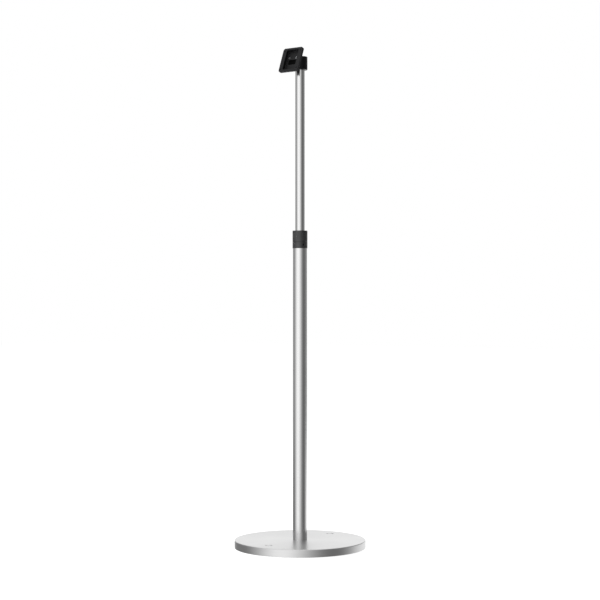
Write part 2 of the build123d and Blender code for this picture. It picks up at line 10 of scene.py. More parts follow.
import bpy
import numpy as np
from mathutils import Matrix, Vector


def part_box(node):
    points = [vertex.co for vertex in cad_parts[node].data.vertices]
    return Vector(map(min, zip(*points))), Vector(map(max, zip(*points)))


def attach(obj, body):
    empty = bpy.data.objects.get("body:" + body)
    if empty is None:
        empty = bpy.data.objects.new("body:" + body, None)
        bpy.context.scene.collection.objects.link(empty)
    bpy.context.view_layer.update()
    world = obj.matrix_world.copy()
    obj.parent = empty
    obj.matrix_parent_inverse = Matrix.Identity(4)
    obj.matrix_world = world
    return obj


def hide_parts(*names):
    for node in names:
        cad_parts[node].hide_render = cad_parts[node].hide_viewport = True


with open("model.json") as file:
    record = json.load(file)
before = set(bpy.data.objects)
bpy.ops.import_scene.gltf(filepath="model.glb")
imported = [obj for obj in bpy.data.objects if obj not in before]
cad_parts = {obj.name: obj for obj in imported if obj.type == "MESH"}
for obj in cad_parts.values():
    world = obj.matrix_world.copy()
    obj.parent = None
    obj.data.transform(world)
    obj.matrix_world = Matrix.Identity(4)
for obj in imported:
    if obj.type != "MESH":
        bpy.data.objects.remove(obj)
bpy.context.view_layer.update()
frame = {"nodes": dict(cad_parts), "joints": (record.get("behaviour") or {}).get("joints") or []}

log = logging.getLogger("terminal_floor_stand")
MM = 0.001
# How far pieces that touch are drawn apart.
SEAT = 0.05 * MM
# How far a surface that cuts runs past what it cuts.
OVERRUN = 1.0 * MM
# The fillets of small edges, from one that is only just broken to one that feels round.
CRISP = 0.1 * MM
BROKEN = 0.2 * MM
EASED = 0.3 * MM
SOFT = 0.4 * MM
ROUNDED = 0.5 * MM
# Edges that turn by more degrees than this stay sharp.
SHARP_ANGLE = 32.0
# The points round a small hole and round a rectangle with sharp corners, and the steps of a rounded edge.
HOLE_SIDES = 48
FOUR_CORNERS = 4
ARC_STEPS = 5
Triple = tuple[float, float, float]
Piece = bpy.types.Object
Tree = bpy.types.NodeTree
Socket = bpy.types.NodeSocket
NodeValue = Socket | float | tuple[float, ...]
X_AXIS, Y_AXIS, Z_AXIS = (1.0, 0.0, 0.0), (0.0, 1.0, 0.0), (0.0, 0.0, 1.0)


# Surfaces: rings of points, skinned with quads

class Ends(Enum):
    """How the first and the last ring of a surface are closed."""

    LOOP = "the last ring joins the first, as on a tube"
    CAPS = "each is closed by a fan to its centre, as on a bar"


class Change(Enum):
    """What a second surface does to a piece."""

    JOIN = "UNION"
    CUT = "DIFFERENCE"


@dataclass(frozen=True)
class Placement:
    """A plane to build on: its origin, the way it faces and its across direction, in metres."""

    origin: Triple = (0.0, 0.0, 0.0)
    outward: Triple = Z_AXIS
    across: Triple = X_AXIS

    @property
    def up(self) -> np.ndarray:
        """The direction square to outward and across."""
        return np.cross(self.outward, self.across)

    def points(self, flat: np.ndarray, height: np.ndarray | float) -> np.ndarray:
        """Takes flat coordinates and heights into the frame.

        A point is the origin, plus across and up times its flat coordinates, plus outward times its height.

        Args:
            flat: flat coordinates, two in the last axis.
            height: heights above the plane, as many as the points or one for all.

        Returns:
            The points, three coordinates in the last axis.
        """
        across, up, outward = (np.asarray(axis, float) for axis in (self.across, self.up, self.outward))
        lift = np.broadcast_to(height, flat.shape[:-1])[..., None]
        return np.asarray(self.origin) + flat[..., :1] * across + flat[..., 1:] * up + lift * outward

    def moved(self, across: float, up: float, outward: float) -> "Placement":
        """The same plane with its origin moved by three lengths."""
        origin = self.points(np.array([across, up]), outward)
        return Placement(tuple(origin), self.outward, self.across)


def directions(angle: np.ndarray) -> np.ndarray:
    """The cosine and the sine of each angle, side by side."""
    return np.stack([np.cos(angle), np.sin(angle)], axis=-1)


class Outline(ABC):
    """A closed line round a centre that can grow evenly outwards."""

    @abstractmethod
    def loop(self, grow: float, count: int) -> np.ndarray:
        """Returns count points of the outline grown by a length, counterclockwise."""


class Polar(Outline):
    """An outline given by its radius in each direction."""

    @abstractmethod
    def radius(self, angle: np.ndarray, grow: float) -> np.ndarray:
        """Returns the radius at each angle."""

    def loop(self, grow: float, count: int) -> np.ndarray:
        """Points at even angles, the radius there times the cosine and the sine."""
        angle = np.arange(count) * 2 * pi / count
        return self.radius(angle, grow)[:, None] * directions(angle)


@dataclass(frozen=True)
class Round(Polar):
    """A circle, whose radius is what it grows by."""

    def radius(self, angle: np.ndarray, grow: float) -> np.ndarray:
        """The growth, whatever the angle."""
        return np.full_like(angle, grow)


@dataclass(frozen=True)
class Fluted(Polar):
    """A circle with shallow parabolic flutes, whose radius is what it grows by."""

    flutes: int
    depth: float
    half_width: float

    def radius(self, angle: np.ndarray, grow: float) -> np.ndarray:
        """The growth, less a dip in each flute.

        The dip is the depth times one minus the square of the arc from a flute's middle over its half width.

        Args:
            angle: the directions.
            grow: the radius between the flutes.

        Returns:
            The radius in each direction.
        """
        pitch = 2 * pi / self.flutes
        arc = ((angle + pitch / 2) % pitch - pitch / 2) * grow
        return grow - self.depth * np.clip(1 - (arc / self.half_width) ** 2, 0, None)


@dataclass(frozen=True)
class Hexagon(Polar):
    """A hexagon with a corner across, turned down to a radius where that is less."""

    flats: float
    turned_to: float = inf

    def radius(self, angle: np.ndarray, grow: float) -> np.ndarray:
        """Half the flats over the cosine of the angle from the nearest flat's middle."""
        radius = (self.flats / 2 + grow) / np.cos(angle % (pi / 3) - pi / 6)
        return np.minimum(radius, self.turned_to)


@dataclass(frozen=True)
class RoundedRectangle(Outline):
    """A rectangle with round corners, its centre moved up or down from the placement's."""

    width: float
    height: float
    radius: float = 0.0
    rise: float = 0.0

    def grown(self, by: float) -> "RoundedRectangle":
        """The rectangle whose sides and corners lie a length further out."""
        return RoundedRectangle(self.width + 2 * by, self.height + 2 * by, self.radius + by, self.rise)

    def loop(self, grow: float, count: int) -> np.ndarray:
        """Each corner's centre plus its radius and the growth times a quarter turn of cosines and sines.

        Args:
            grow: the length added all round.
            count: the number of points, a fourth of them on each corner.

        Returns:
            The points.
        """
        corner = np.array([[1, 1], [-1, 1], [-1, -1], [1, -1]])
        centre = corner * (np.array([self.width, self.height]) / 2 - self.radius)
        turn = np.arange(4)[:, None] * pi / 2 + np.linspace(0, pi / 2, count // 4)[None, :]
        arc = directions(turn) * (self.radius + grow)
        return (centre[:, None, :] + arc).reshape(-1, 2) + np.array([0.0, self.rise])


@dataclass(frozen=True)
class Lug(Outline):
    """Half a circle away from the across direction, with straight sides that reach along it."""

    radius: float
    reach: float

    def loop(self, grow: float, count: int) -> np.ndarray:
        """The half circle's points by cosine and sine, then the two corners at the reach.

        Args:
            grow: the length added to the circle and the sides.
            count: the number of points, two of them the corners.

        Returns:
            The points.
        """
        radius = self.radius + grow
        arc = directions(np.linspace(pi / 2, 3 * pi / 2, count - 2)) * radius
        return np.vstack([arc, [[self.reach, -radius], [self.reach, radius]]])


@dataclass(frozen=True)
class Level:
    """One ring of a surface: an outline, the length it is grown by and its height."""

    outline: Outline
    grow: float
    height: float


@dataclass
class Surface:
    """A closed surface: its points, and its faces of four and of three corners."""

    points: np.ndarray
    quads: np.ndarray
    fans: np.ndarray

    def volume(self) -> float:
        """The sum over all triangles of the corners' triple product over six.

        Returns:
            The volume inside, negative if the faces point inwards.
        """
        halves = (self.quads[:, [0, 1, 2]], self.quads[:, [0, 2, 3]], self.fans)
        corners = self.points[np.vstack(halves)]
        return float(np.einsum("ij,ij->i", corners[:, 0], np.cross(corners[:, 1], corners[:, 2])).sum() / 6)

    def outward(self) -> "Surface":
        """The same surface with its faces pointing outwards."""
        flipped = Surface(self.points, self.quads[:, ::-1], self.fans[:, ::-1])
        return flipped if self.volume() < 0 else self


def together(surfaces: Sequence[Surface]) -> Surface:
    """Puts several surfaces into one.

    Args:
        surfaces: closed surfaces that do not touch.

    Returns:
        One surface that holds them all, each face's indices moved on by the points before it.
    """
    starts = np.cumsum([0] + [len(surface.points) for surface in surfaces[:-1]])
    return Surface(
        np.vstack([surface.points for surface in surfaces]),
        np.vstack([surface.quads + start for surface, start in zip(surfaces, starts)]),
        np.vstack([surface.fans + start for surface, start in zip(surfaces, starts)]),
    )


def stacked(levels: Sequence[Level], place: Placement, count: int, ends: Ends) -> Surface:
    """Skins a stack of rings.

    Ring i is the outline of level i at its height on the placement. Each quad joins two neighbouring points
    of a ring to the same two of the next ring.

    Args:
        levels: the rings in order.
        place: the plane that heights are measured from.
        count: the points of each ring.
        ends: whether the last ring joins the first, or both are capped.

    Returns:
        The closed surface, facing outwards.
    """
    flat = np.stack([level.outline.loop(level.grow, count) for level in levels])
    height = np.array([level.height for level in levels])
    rings = place.points(flat, height[:, None])
    points, rows = rings.reshape(-1, 3), len(levels)
    i, j = np.meshgrid(np.arange(rows if ends is Ends.LOOP else rows - 1), np.arange(count), indexing="ij")
    below, above, k = i * count, (i + 1) % rows * count, (j + 1) % count
    quads = np.stack([below + j, below + k, above + k, above + j], axis=-1).reshape(-1, 4)
    fans = np.empty((0, 3), int)
    if ends is Ends.CAPS:
        points = np.vstack([points, rings[[0, -1]].mean(axis=1)])
        j, centre, last = np.arange(count), rows * count, (rows - 1) * count
        k = (j + 1) % count
        first_fan = np.stack([np.full(count, centre), k, j], axis=-1)
        last_fan = np.stack([np.full(count, centre + 1), last + j, last + k], axis=-1)
        fans = np.vstack([first_fan, last_fan])
    return Surface(points, quads, fans).outward()


def filleted(corners: Sequence[Triple], closed: bool = False) -> np.ndarray:
    """Rounds the corners of a profile.

    A corner's arc starts and ends where a circle of its radius touches both of its sides. Its points turn
    from the first touching radius to the second by equal shares of the angle between them.

    Args:
        corners: each corner's two coordinates and its fillet radius, which may be 0.
        closed: whether the last corner joins the first.

    Returns:
        The profile's points, two coordinates each.
    """
    points = np.array([corner[:2] for corner in corners])
    profile = []
    for index, (x, y, fillet) in enumerate(corners):
        at_end = not closed and index in (0, len(corners) - 1)
        if fillet == 0 or at_end:
            profile.append(np.array([[x, y]]))
            continue
        here = points[index]
        back, ahead = (points[other % len(corners)] - here for other in (index - 1, index + 1))
        back, ahead = back / np.linalg.norm(back), ahead / np.linalg.norm(ahead)
        half = np.arccos(np.clip(back @ ahead, -1, 1)) / 2
        middle = (back + ahead) / np.linalg.norm(back + ahead)
        centre = here + middle * fillet / np.sin(half)
        first, last = (here + side * fillet / np.tan(half) - centre for side in (back, ahead))
        sweep, share = pi - 2 * half, np.linspace(0, 1, ARC_STEPS + 1)[:, None]
        arc = (np.sin((1 - share) * sweep) * first + np.sin(share * sweep) * last) / np.sin(sweep)
        profile.append(centre + arc)
    return np.vstack(profile)


def quarter_round(
    outline: Outline, grow: float, depth: float, radius: float, start: float, sweep: float = -90.0
) -> list[Level]:
    """Makes the levels of a rounded edge or of a hollow corner.

    The arc's centre is at a growth and a depth. Each point is the centre plus the radius times the cosine
    outwards and the sine forwards.

    Args:
        outline: the outline that the arc follows.
        grow: the centre's growth from the outline.
        depth: the centre's depth behind the plane.
        radius: the arc's radius.
        start: the first angle in degrees, 0 outwards and 90 forwards.
        sweep: the degrees that it turns by, -90 on an edge and 90 in a hollow corner.

    Returns:
        The arc's levels.
    """
    degrees = np.linspace(start, start + sweep, ARC_STEPS + 1)
    angles = np.radians(degrees)
    return [Level(outline, grow + radius * cos(a), radius * sin(a) - depth) for a in angles]


def turned(corners: Sequence[Triple], place: Placement, count: int, ends: Ends) -> Surface:
    """Turns a profile, of corners with a radius, a height and a fillet, about the outward axis."""
    profile = filleted(corners, ends is Ends.LOOP)
    return stacked([Level(Round(), radius, height) for radius, height in profile], place, count, ends)


def bar(radius: float, near: float, far: float, place: Placement, count: int = HOLE_SIDES) -> Surface:
    """A plain round bar on the placement's outward axis, between two heights."""
    return turned([(radius, near, 0.0), (radius, far, 0.0)], place, count, Ends.CAPS)


def extruded(outline: Outline, place: Placement, near: float, far: float, edge: float, count: int) -> Surface:
    """Carries an outline along the placement's outward axis, with both of its edges rounded.

    The profile runs up the side between two corners far inside, which only give the edges their second side.

    Args:
        outline: the section.
        place: the plane that near and far are measured from.
        near: the lower face's height.
        far: the upper face's height.
        edge: the radius of the edges, which may be 0.
        count: the points round the outline.

    Returns:
        The closed surface.
    """
    inside = -1.0
    profile = filleted([(inside, near, 0.0), (0.0, near, edge), (0.0, far, edge), (inside, far, 0.0)])
    levels = [Level(outline, grow, height) for grow, height in profile[1:-1]]
    return stacked(levels, place, count, Ends.CAPS)


# Screws: the hexagon key's socket, the fine flutes of a cap screw's head, and the set screws, whose points
# are hollowed to a cup.
SOCKET_FLATS = 2.5 * MM
SOCKET_RIM = 1.62 * MM
SOCKET_LEAD = 0.12 * MM
SCREW_SIDES = 120
SCREW_TIP = 1.2 * MM
KNURL_DEPTH = 0.08 * MM
KNURL_HALF_WIDTH = 0.25 * MM
SET_SCREW_RADIUS = 2.5 * MM
SET_SCREW_LENGTH = 6.0 * MM
SET_SCREW_SOCKET = 2.5 * MM
SET_SCREW_POINT = 0.6 * MM
SET_SCREW_EDGE = 0.25 * MM
CUP_RADIUS = 1.3 * MM
CUP_FLOOR = 0.8 * MM
CUP_DEPTH = 0.35 * MM
CUP_EDGE = 0.05 * MM


def socket_screw(profile: Sequence[Triple], depth: float, place: Placement, knurls: int = 0) -> Surface:
    """Turns a screw and sinks a hexagon socket in its top.

    Args:
        profile: radius, height and fillet of each corner, from the tip to the edge of the top.
        depth: the socket's depth.
        place: the plane whose outward axis is the screw's.
        knurls: the number of fine flutes round the widest stretch, or 0 for a plain head.

    Returns:
        The closed surface.
    """
    widest, top = max(corner[0] for corner in profile), profile[-1][1]
    side = Fluted(knurls, KNURL_DEPTH, KNURL_HALF_WIDTH) if knurls else Round()
    rings = filleted([*profile, (SOCKET_RIM, top, 0.0)])
    levels = [Level(side if radius == widest else Round(), radius, height) for radius, height in rings]
    levels += [Level(Hexagon(SOCKET_FLATS), 0.0, top - sunk) for sunk in (SOCKET_LEAD, depth)]
    return stacked(levels, place, SCREW_SIDES, Ends.CAPS)


def set_screw(place: Placement) -> Surface:
    """A headless screw with a cupped point and a socket, from its tip on the plane outwards.

    Args:
        place: the plane whose outward axis is the screw's.

    Returns:
        The closed surface.
    """
    profile = [
        (CUP_FLOOR, CUP_DEPTH, 0.0),
        (CUP_RADIUS, 0.0, CUP_EDGE),
        (SET_SCREW_RADIUS, SET_SCREW_POINT, CRISP),
        (SET_SCREW_RADIUS, SET_SCREW_LENGTH, SET_SCREW_EDGE),
    ]
    return socket_screw(profile, SET_SCREW_SOCKET, place)


# Pieces: from a surface to an object

Step = tuple[Change, Surface]


def cuts(*surfaces: Surface) -> list[Step]:
    """One cut for each surface."""
    return [(Change.CUT, surface) for surface in surfaces]


def new_object(name: str, surface: Surface) -> Piece:
    """Puts a surface into the scene.

    Args:
        name: the object's name.
        surface: its closed surface, in the frame.

    Returns:
        The object, at the origin with its place in its mesh.
    """
    mesh = bpy.data.meshes.new(name)
    mesh.from_pydata(surface.points.tolist(), [], surface.quads.tolist() + surface.fans.tolist())
    mesh.validate()
    piece = bpy.data.objects.new(name, mesh)
    bpy.context.scene.collection.objects.link(piece)
    return piece


def carve(piece: Piece, steps: Sequence[Step]) -> None:
    """Joins other surfaces to a piece or cuts them out of it, one after another, and keeps the result.

    Args:
        piece: the object that changes.
        steps: what each surface does, in order.
    """
    tools = []
    for number, (change, surface) in enumerate(steps):
        tool = new_object(f"tool_{number}", surface)
        modifier = piece.modifiers.new(f"step_{number}", "BOOLEAN")
        modifier.operation = change.value
        modifier.solver = "EXACT"
        modifier.object = tool
        tools.append(tool)
    carved = bpy.data.meshes.new_from_object(piece.evaluated_get(bpy.context.evaluated_depsgraph_get()))
    carved.name = piece.name
    piece.modifiers.clear()
    piece.data = carved
    for tool in tools:
        bpy.data.meshes.remove(tool.data)


def smooth(piece: Piece) -> None:
    """Shades a piece smooth between its sharp edges, with the large faces setting the normals.

    Args:
        piece: the object.
    """
    piece.data.shade_smooth()
    piece.data.set_sharp_from_angle(angle=radians(SHARP_ANGLE))
    piece.modifiers.new("face_weighted_normals", "WEIGHTED_NORMAL").keep_sharp = True


# Finishes: what each real surface is, as a procedural material

# How much of the wear is patches, the rest being grain, and the values that noise mostly stays between.
PATCH_SHARE = 0.4
NOISE_LOW, NOISE_HIGH = 0.3, 0.7


def linear(colour: str) -> tuple[float, float, float, float]:
    """Turns an sRGB hex colour to linear light.

    Args:
        colour: six hex digits after a hash.

    Returns:
        Red, green, blue and an alpha of 1.
    """
    shares = [int(colour[start:start + 2], 16) / 255 for start in (1, 3, 5)]
    red, green, blue = (s / 12.92 if s <= 0.04045 else ((s + 0.055) / 1.055) ** 2.4 for s in shares)
    return red, green, blue, 1.0


def blank_tree(owner: bpy.types.Material | bpy.types.World) -> Tree:
    """Switches on the nodes of a material or a world and empties them.

    Args:
        owner: the material or world.

    Returns:
        Its node tree.
    """
    owner.use_nodes = True
    owner.node_tree.nodes.clear()
    return owner.node_tree


def add_node(
    tree: Tree, kind: str, inputs: dict[str | int, NodeValue] | None = None, **settings: str | bool
) -> bpy.types.Node:
    """Adds a node, with its settings and with values or links on its inputs.

    Args:
        tree: the node tree.
        kind: the node's type, after the word ShaderNode that every type starts with.
        inputs: for each input, by name or place, the socket that feeds it or its value.
        settings: the node's own properties.

    Returns:
        The node.
    """
    node = tree.nodes.new("ShaderNode" + kind)
    for name, setting in settings.items():
        setattr(node, name, setting)
    for name, value in (inputs or {}).items():
        if isinstance(value, Socket):
            tree.links.new(value, node.inputs[name])
        else:
            node.inputs[name].default_value = value
    return node


@dataclass(frozen=True)
class Finish(ABC):
    """A real surface: two colours and two roughnesses that its pattern runs between, and its relief.

    The slot is the record's material slot that it stands for.
    """

    name: str
    slot: str
    dark: str
    light: str
    smoothest: float
    roughest: float
    relief: float
    patch: float = 60 * MM
    metallic: float = 0.0
    specular: float = 0.5

    @abstractmethod
    def grain(self, tree: Tree, place: Socket) -> Socket:
        """Returns the finish's fine pattern, from 0 to 1, on Object coordinates."""

    def extra(self, tree: Tree, place: Socket) -> dict[str, NodeValue]:
        """Returns what else the finish sets on its shader."""
        return {}

    @cache
    def material(self) -> bpy.types.Material:
        """Makes the finish's material, once for all the pieces that share it.

        The fine grain mixes the two colours and raises the relief. The roughness follows the grain and, more
        widely, soft patches as handling leaves them.

        Returns:
            The material.
        """
        material = bpy.data.materials.new(self.name)
        tree = blank_tree(material)
        place = add_node(tree, "TexCoord").outputs["Object"]
        grain = self.grain(tree, place)
        wide = {"Vector": place, "Scale": 1 / self.patch, "Detail": 2.0}
        patch = add_node(tree, "TexNoise", wide).outputs[0]
        wear = add_node(tree, "Mix", {0: PATCH_SHARE, 2: grain, 3: patch}, data_type="FLOAT").outputs[0]
        span = {"Value": wear, 1: NOISE_LOW, 2: NOISE_HIGH, 3: self.smoothest, 4: self.roughest}
        tints = {0: grain, 6: linear(self.dark), 7: linear(self.light)}
        raised = {"Height": grain, "Distance": self.relief, "Strength": 1.0}
        values = {
            "Base Color": add_node(tree, "Mix", tints, data_type="RGBA").outputs[2],
            "Roughness": add_node(tree, "MapRange", span).outputs[0],
            "Normal": add_node(tree, "Bump", raised).outputs[0],
            "Metallic": self.metallic,
            "Specular IOR Level": self.specular,
        }
        shader = add_node(tree, "BsdfPrincipled", {**values, **self.extra(tree, place)})
        add_node(tree, "OutputMaterial", {"Surface": shader.outputs[0]})
        return material


@dataclass(frozen=True)
class RingedMetal(Finish):
    """Metal spun, turned or polished about the pole, so that its fine lines run in rings."""

    metallic: float = 1.0
    pitch: float = 1.2 * MM
    streaks: float = 2.5
    anisotropy: float = 0.0

    def grain(self, tree: Tree, place: Socket) -> Socket:
        """Noise that changes fast with radius plus height and slowly with the direction round the pole.

        Args:
            tree: the material's node tree.
            place: the Object coordinates.

        Returns:
            The pattern.
        """
        flat = add_node(tree, "VectorMath", {0: place, 1: (1.0, 1.0, 0.0)}, operation="MULTIPLY").outputs[0]
        radius = add_node(tree, "VectorMath", {0: flat}, operation="LENGTH").outputs["Value"]
        around = add_node(tree, "VectorMath", {0: flat}, operation="NORMALIZE").outputs[0]
        height = add_node(tree, "SeparateXYZ", {0: place}).outputs["Z"]
        reach = add_node(tree, "Math", {0: radius, 1: height}, operation="ADD").outputs[0]
        lines = add_node(tree, "Math", {0: reach, 1: 1 / self.pitch}, operation="MULTIPLY").outputs[0]
        streak = add_node(tree, "VectorMath", {0: around, "Scale": self.streaks}, operation="SCALE")
        side = add_node(tree, "SeparateXYZ", {0: streak.outputs[0]}).outputs
        ring = add_node(tree, "CombineXYZ", {0: side["X"], 1: side["Y"], 2: lines}).outputs[0]
        noise = {"Vector": ring, "Scale": 1.0, "Detail": 3.0, "Roughness": 0.6}
        return add_node(tree, "TexNoise", noise).outputs[0]

    def extra(self, tree: Tree, place: Socket) -> dict[str, NodeValue]:
        """The lines run along Z cross the place. A quarter turn draws the highlight out square to them."""
        lines = add_node(tree, "VectorMath", {0: Z_AXIS, 1: place}, operation="CROSS_PRODUCT")
        return {"Anisotropic": self.anisotropy, "Anisotropic Rotation": 0.25, "Tangent": lines.outputs[0]}


@dataclass(frozen=True)
class GrainyFinish(Finish):
    """A surface whose fine texture has no direction, such as plating, powder coat or a spark grain."""

    grain_size: float = 0.8 * MM
    detail: float = 3.0

    def grain(self, tree: Tree, place: Socket) -> Socket:
        """Noise whose lumps are as wide as the grain."""
        noise = {"Vector": place, "Scale": 1 / self.grain_size, "Detail": self.detail, "Roughness": 0.55}
        return add_node(tree, "TexNoise", noise).outputs[0]


@dataclass(frozen=True)
class FeltFinish(Finish):
    """Pressed wool, whose fibres lie in short crossing strands."""

    fibre: float = 0.3 * MM

    def grain(self, tree: Tree, place: Socket) -> Socket:
        """Distances to the edges of cells four fibres wide, plus noise as fine as a fibre.

        Args:
            tree: the material's node tree.
            place: the Object coordinates.

        Returns:
            The pattern.
        """
        cells = {"Vector": place, "Scale": 1 / (4 * self.fibre)}
        edges = add_node(tree, "TexVoronoi", cells, feature="DISTANCE_TO_EDGE").outputs[0]
        fine = {"Vector": place, "Scale": 1 / self.fibre, "Detail": 2.0}
        fuzz = add_node(tree, "TexNoise", fine).outputs[0]
        return add_node(tree, "Math", {0: edges, 1: fuzz}, operation="ADD", use_clamp=True).outputs[0]


class Metal(Enum):
    """The stand's metal and coated finishes."""

    # Stainless sheet spun to shape and brushed on the lathe: soft, slightly streaked reflections in wide
    # rings. The real lines are 0.1 mm apart and are drawn 1.6 mm apart, so that a trace of them shows.
    BRUSHED_STAINLESS = RingedMetal(
        "spun_brushed_stainless", "brushed_stainless", "#C4C4C4", "#D2D2D2", 0.3, 0.38, 0.004 * MM,
        pitch=1.6 * MM, anisotropy=0.3,
    )
    # Stainless tube, centreless ground and polished: clear upright reflections with a faint ground line.
    # The grinding lines are about 0.05 mm apart, drawn 1.4 mm apart.
    POLISHED_STAINLESS = RingedMetal(
        "polished_stainless_tube", "polished_stainless", "#CACACA", "#D2D2D2", 0.13, 0.21, 0.0015 * MM,
        pitch=1.4 * MM, streaks=1.5, anisotropy=0.25,
    )
    # Stainless bar turned to a cone: rings a little rougher than the sheet round it. Its colour, lighter than
    # the cover's stainless, is partly painted light that lifts the shade inside the countersunk recess.
    TURNED_STAINLESS = GrainyFinish(
        "turned_stainless_bar", "turned_stainless", "#D2D2D2", "#DEDEDE", 0.24, 0.34, 0.004 * MM,
        metallic=1.0, grain_size=0.5 * MM,
    )
    # Steel bracket dipped in a matt black coat: the darkest surface, nearly without sheen. That darkness is
    # partly painted shade. Its colour and sheen are set below the hub's powder coat of the same slot, so the
    # flange seen through the plate's window reads as deep shadow.
    MATT_COAT_PAINTED_SHADE = GrainyFinish(
        "matt_black_coat_painted_shade", "black_powder_coat", "#040404", "#090909", 0.54, 0.68, 0.012 * MM,
        specular=0.04, grain_size=0.6 * MM,
    )
    # Steel plate with a thick dark primer: matt, with a slight orange peel.
    COATED_STEEL = GrainyFinish(
        "primed_steel_plate", "coated_steel", "#2A2B2D", "#343537", 0.5, 0.65, 0.03 * MM, grain_size=1.5 * MM
    )
    # Cast zinc with a fine black powder coat: deep black, with a low sheen broken by small lumps.
    POWDER_COAT = GrainyFinish(
        "fine_black_powder_coat", "black_powder_coat", "#070708", "#0F0F10", 0.30, 0.42, 0.015 * MM,
        specular=0.16, grain_size=0.7 * MM,
    )
    # Alloy steel with a black oxide: dark, with a thin oily gloss.
    BLACK_OXIDE = GrainyFinish(
        "black_oxide_steel", "black_oxide", "#2B2C2E", "#3A3B3D", 0.28, 0.40, 0.004 * MM,
        metallic=0.9, grain_size=0.4 * MM,
    )
    # Bright zinc plate: pale and slightly cloudy.
    ZINC_PLATE = GrainyFinish(
        "bright_zinc_plate", "zinc_steel", "#A3A5A8", "#B8BABD", 0.24, 0.36, 0.003 * MM,
        metallic=1.0, grain_size=0.5 * MM,
    )
    # Zinc flake, baked on: a dull grey coat with fine flakes, lit like a paint.
    ZINC_FLAKE = GrainyFinish(
        "baked_zinc_flake", "zinc_steel", "#6B6C6E", "#7D7E80", 0.38, 0.5, 0.005 * MM, grain_size=0.5 * MM
    )
    # Turned mild steel, oiled and left bare: greyer than the plated screws.
    BARE_STEEL = GrainyFinish(
        "turned_bare_steel", "bare_steel", "#8E8D8B", "#A5A4A2", 0.30, 0.42, 0.005 * MM,
        metallic=1.0, grain_size=0.5 * MM,
    )


class Polymer(Enum):
    """The stand's mouldings, rubber and felt."""

    # Rubber, moulded: dull and nearly black.
    FOOT_RUBBER = GrainyFinish(
        "moulded_rubber", "foot_rubber", "#141414", "#1E1E1E", 0.75, 0.9, 0.04 * MM, grain_size=0.9 * MM
    )
    # Glass-filled nylon: dark grey, with a satin sheen and a slightly cloudy skin.
    BLACK_NYLON = GrainyFinish(
        "glass_filled_nylon", "black_nylon", "#161617", "#1F1F20", 0.30, 0.42, 0.01 * MM, specular=0.8
    )
    # Black polymer moulded against spark-eroded steel: an even fine grain that spreads the light.
    BLACK_MOULDING = GrainyFinish(
        "spark_grain_moulding", "black_moulding", "#0F0F10", "#18181A", 0.42, 0.55, 0.015 * MM, specular=0.3
    )
    # Acetal: natural white, waxy.
    ACETAL = GrainyFinish(
        "white_acetal", "acetal", "#DEDCD4", "#EAE8E1", 0.35, 0.45, 0.005 * MM, grain_size=1.2 * MM
    )
    # Pressed wool felt: dark and dusty.
    FELT = FeltFinish("pressed_wool_felt", "felt", "#2A2A2A", "#484848", 0.9, 1.0, 0.1 * MM)


def finished(
    name: str,
    surface: Surface,
    finish: Metal | Polymer,
    body: str,
    node: str,
    steps: Sequence[Step] = (),
) -> Piece:
    """Makes a piece that stands for a CAD node.

    Args:
        name: the piece's name.
        surface: its closed surface.
        finish: what it is made of.
        body: the CAD body that it rides on.
        node: the CAD node that it replaces.
        steps: surfaces joined to it or cut out of it.

    Returns:
        The piece, dressed and riding.
    """
    piece = new_object(name, surface)
    if steps:
        carve(piece, steps)
    smooth(piece)
    piece.data.materials.clear()
    piece.data.materials.append(finish.value.material())
    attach(piece, body)
    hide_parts(node)
    return piece


def keep(node: str, finish: Metal | Polymer) -> Piece:
    """Gives a CAD node that stays its finish.

    Args:
        node: the node's name.
        finish: what it is made of.

    Returns:
        The node's object.
    """
    kept = frame["nodes"][node]
    if not kept.data.materials:
        kept.data.materials.append(None)
    for index in range(len(kept.data.materials)):
        kept.data.materials[index] = finish.value.material()
    return kept


# Sub-assemblies

FLOOR_PLANE = Placement()
# The bore round the upper tube, and how far a set screw's tip stands out of it towards the tube.
POLE_BORE = 12.95 * MM
TIP_PROUD = 0.2 * MM
# The radius of a hole for a pin or a screw of 4 mm.
PIN_HOLE = 2.05 * MM


class Assembly(ABC):
    """A sub-assembly of the stand."""

    @abstractmethod
    def pieces(self) -> Iterator[Piece]:
        """Yields each piece once it is built and dressed."""


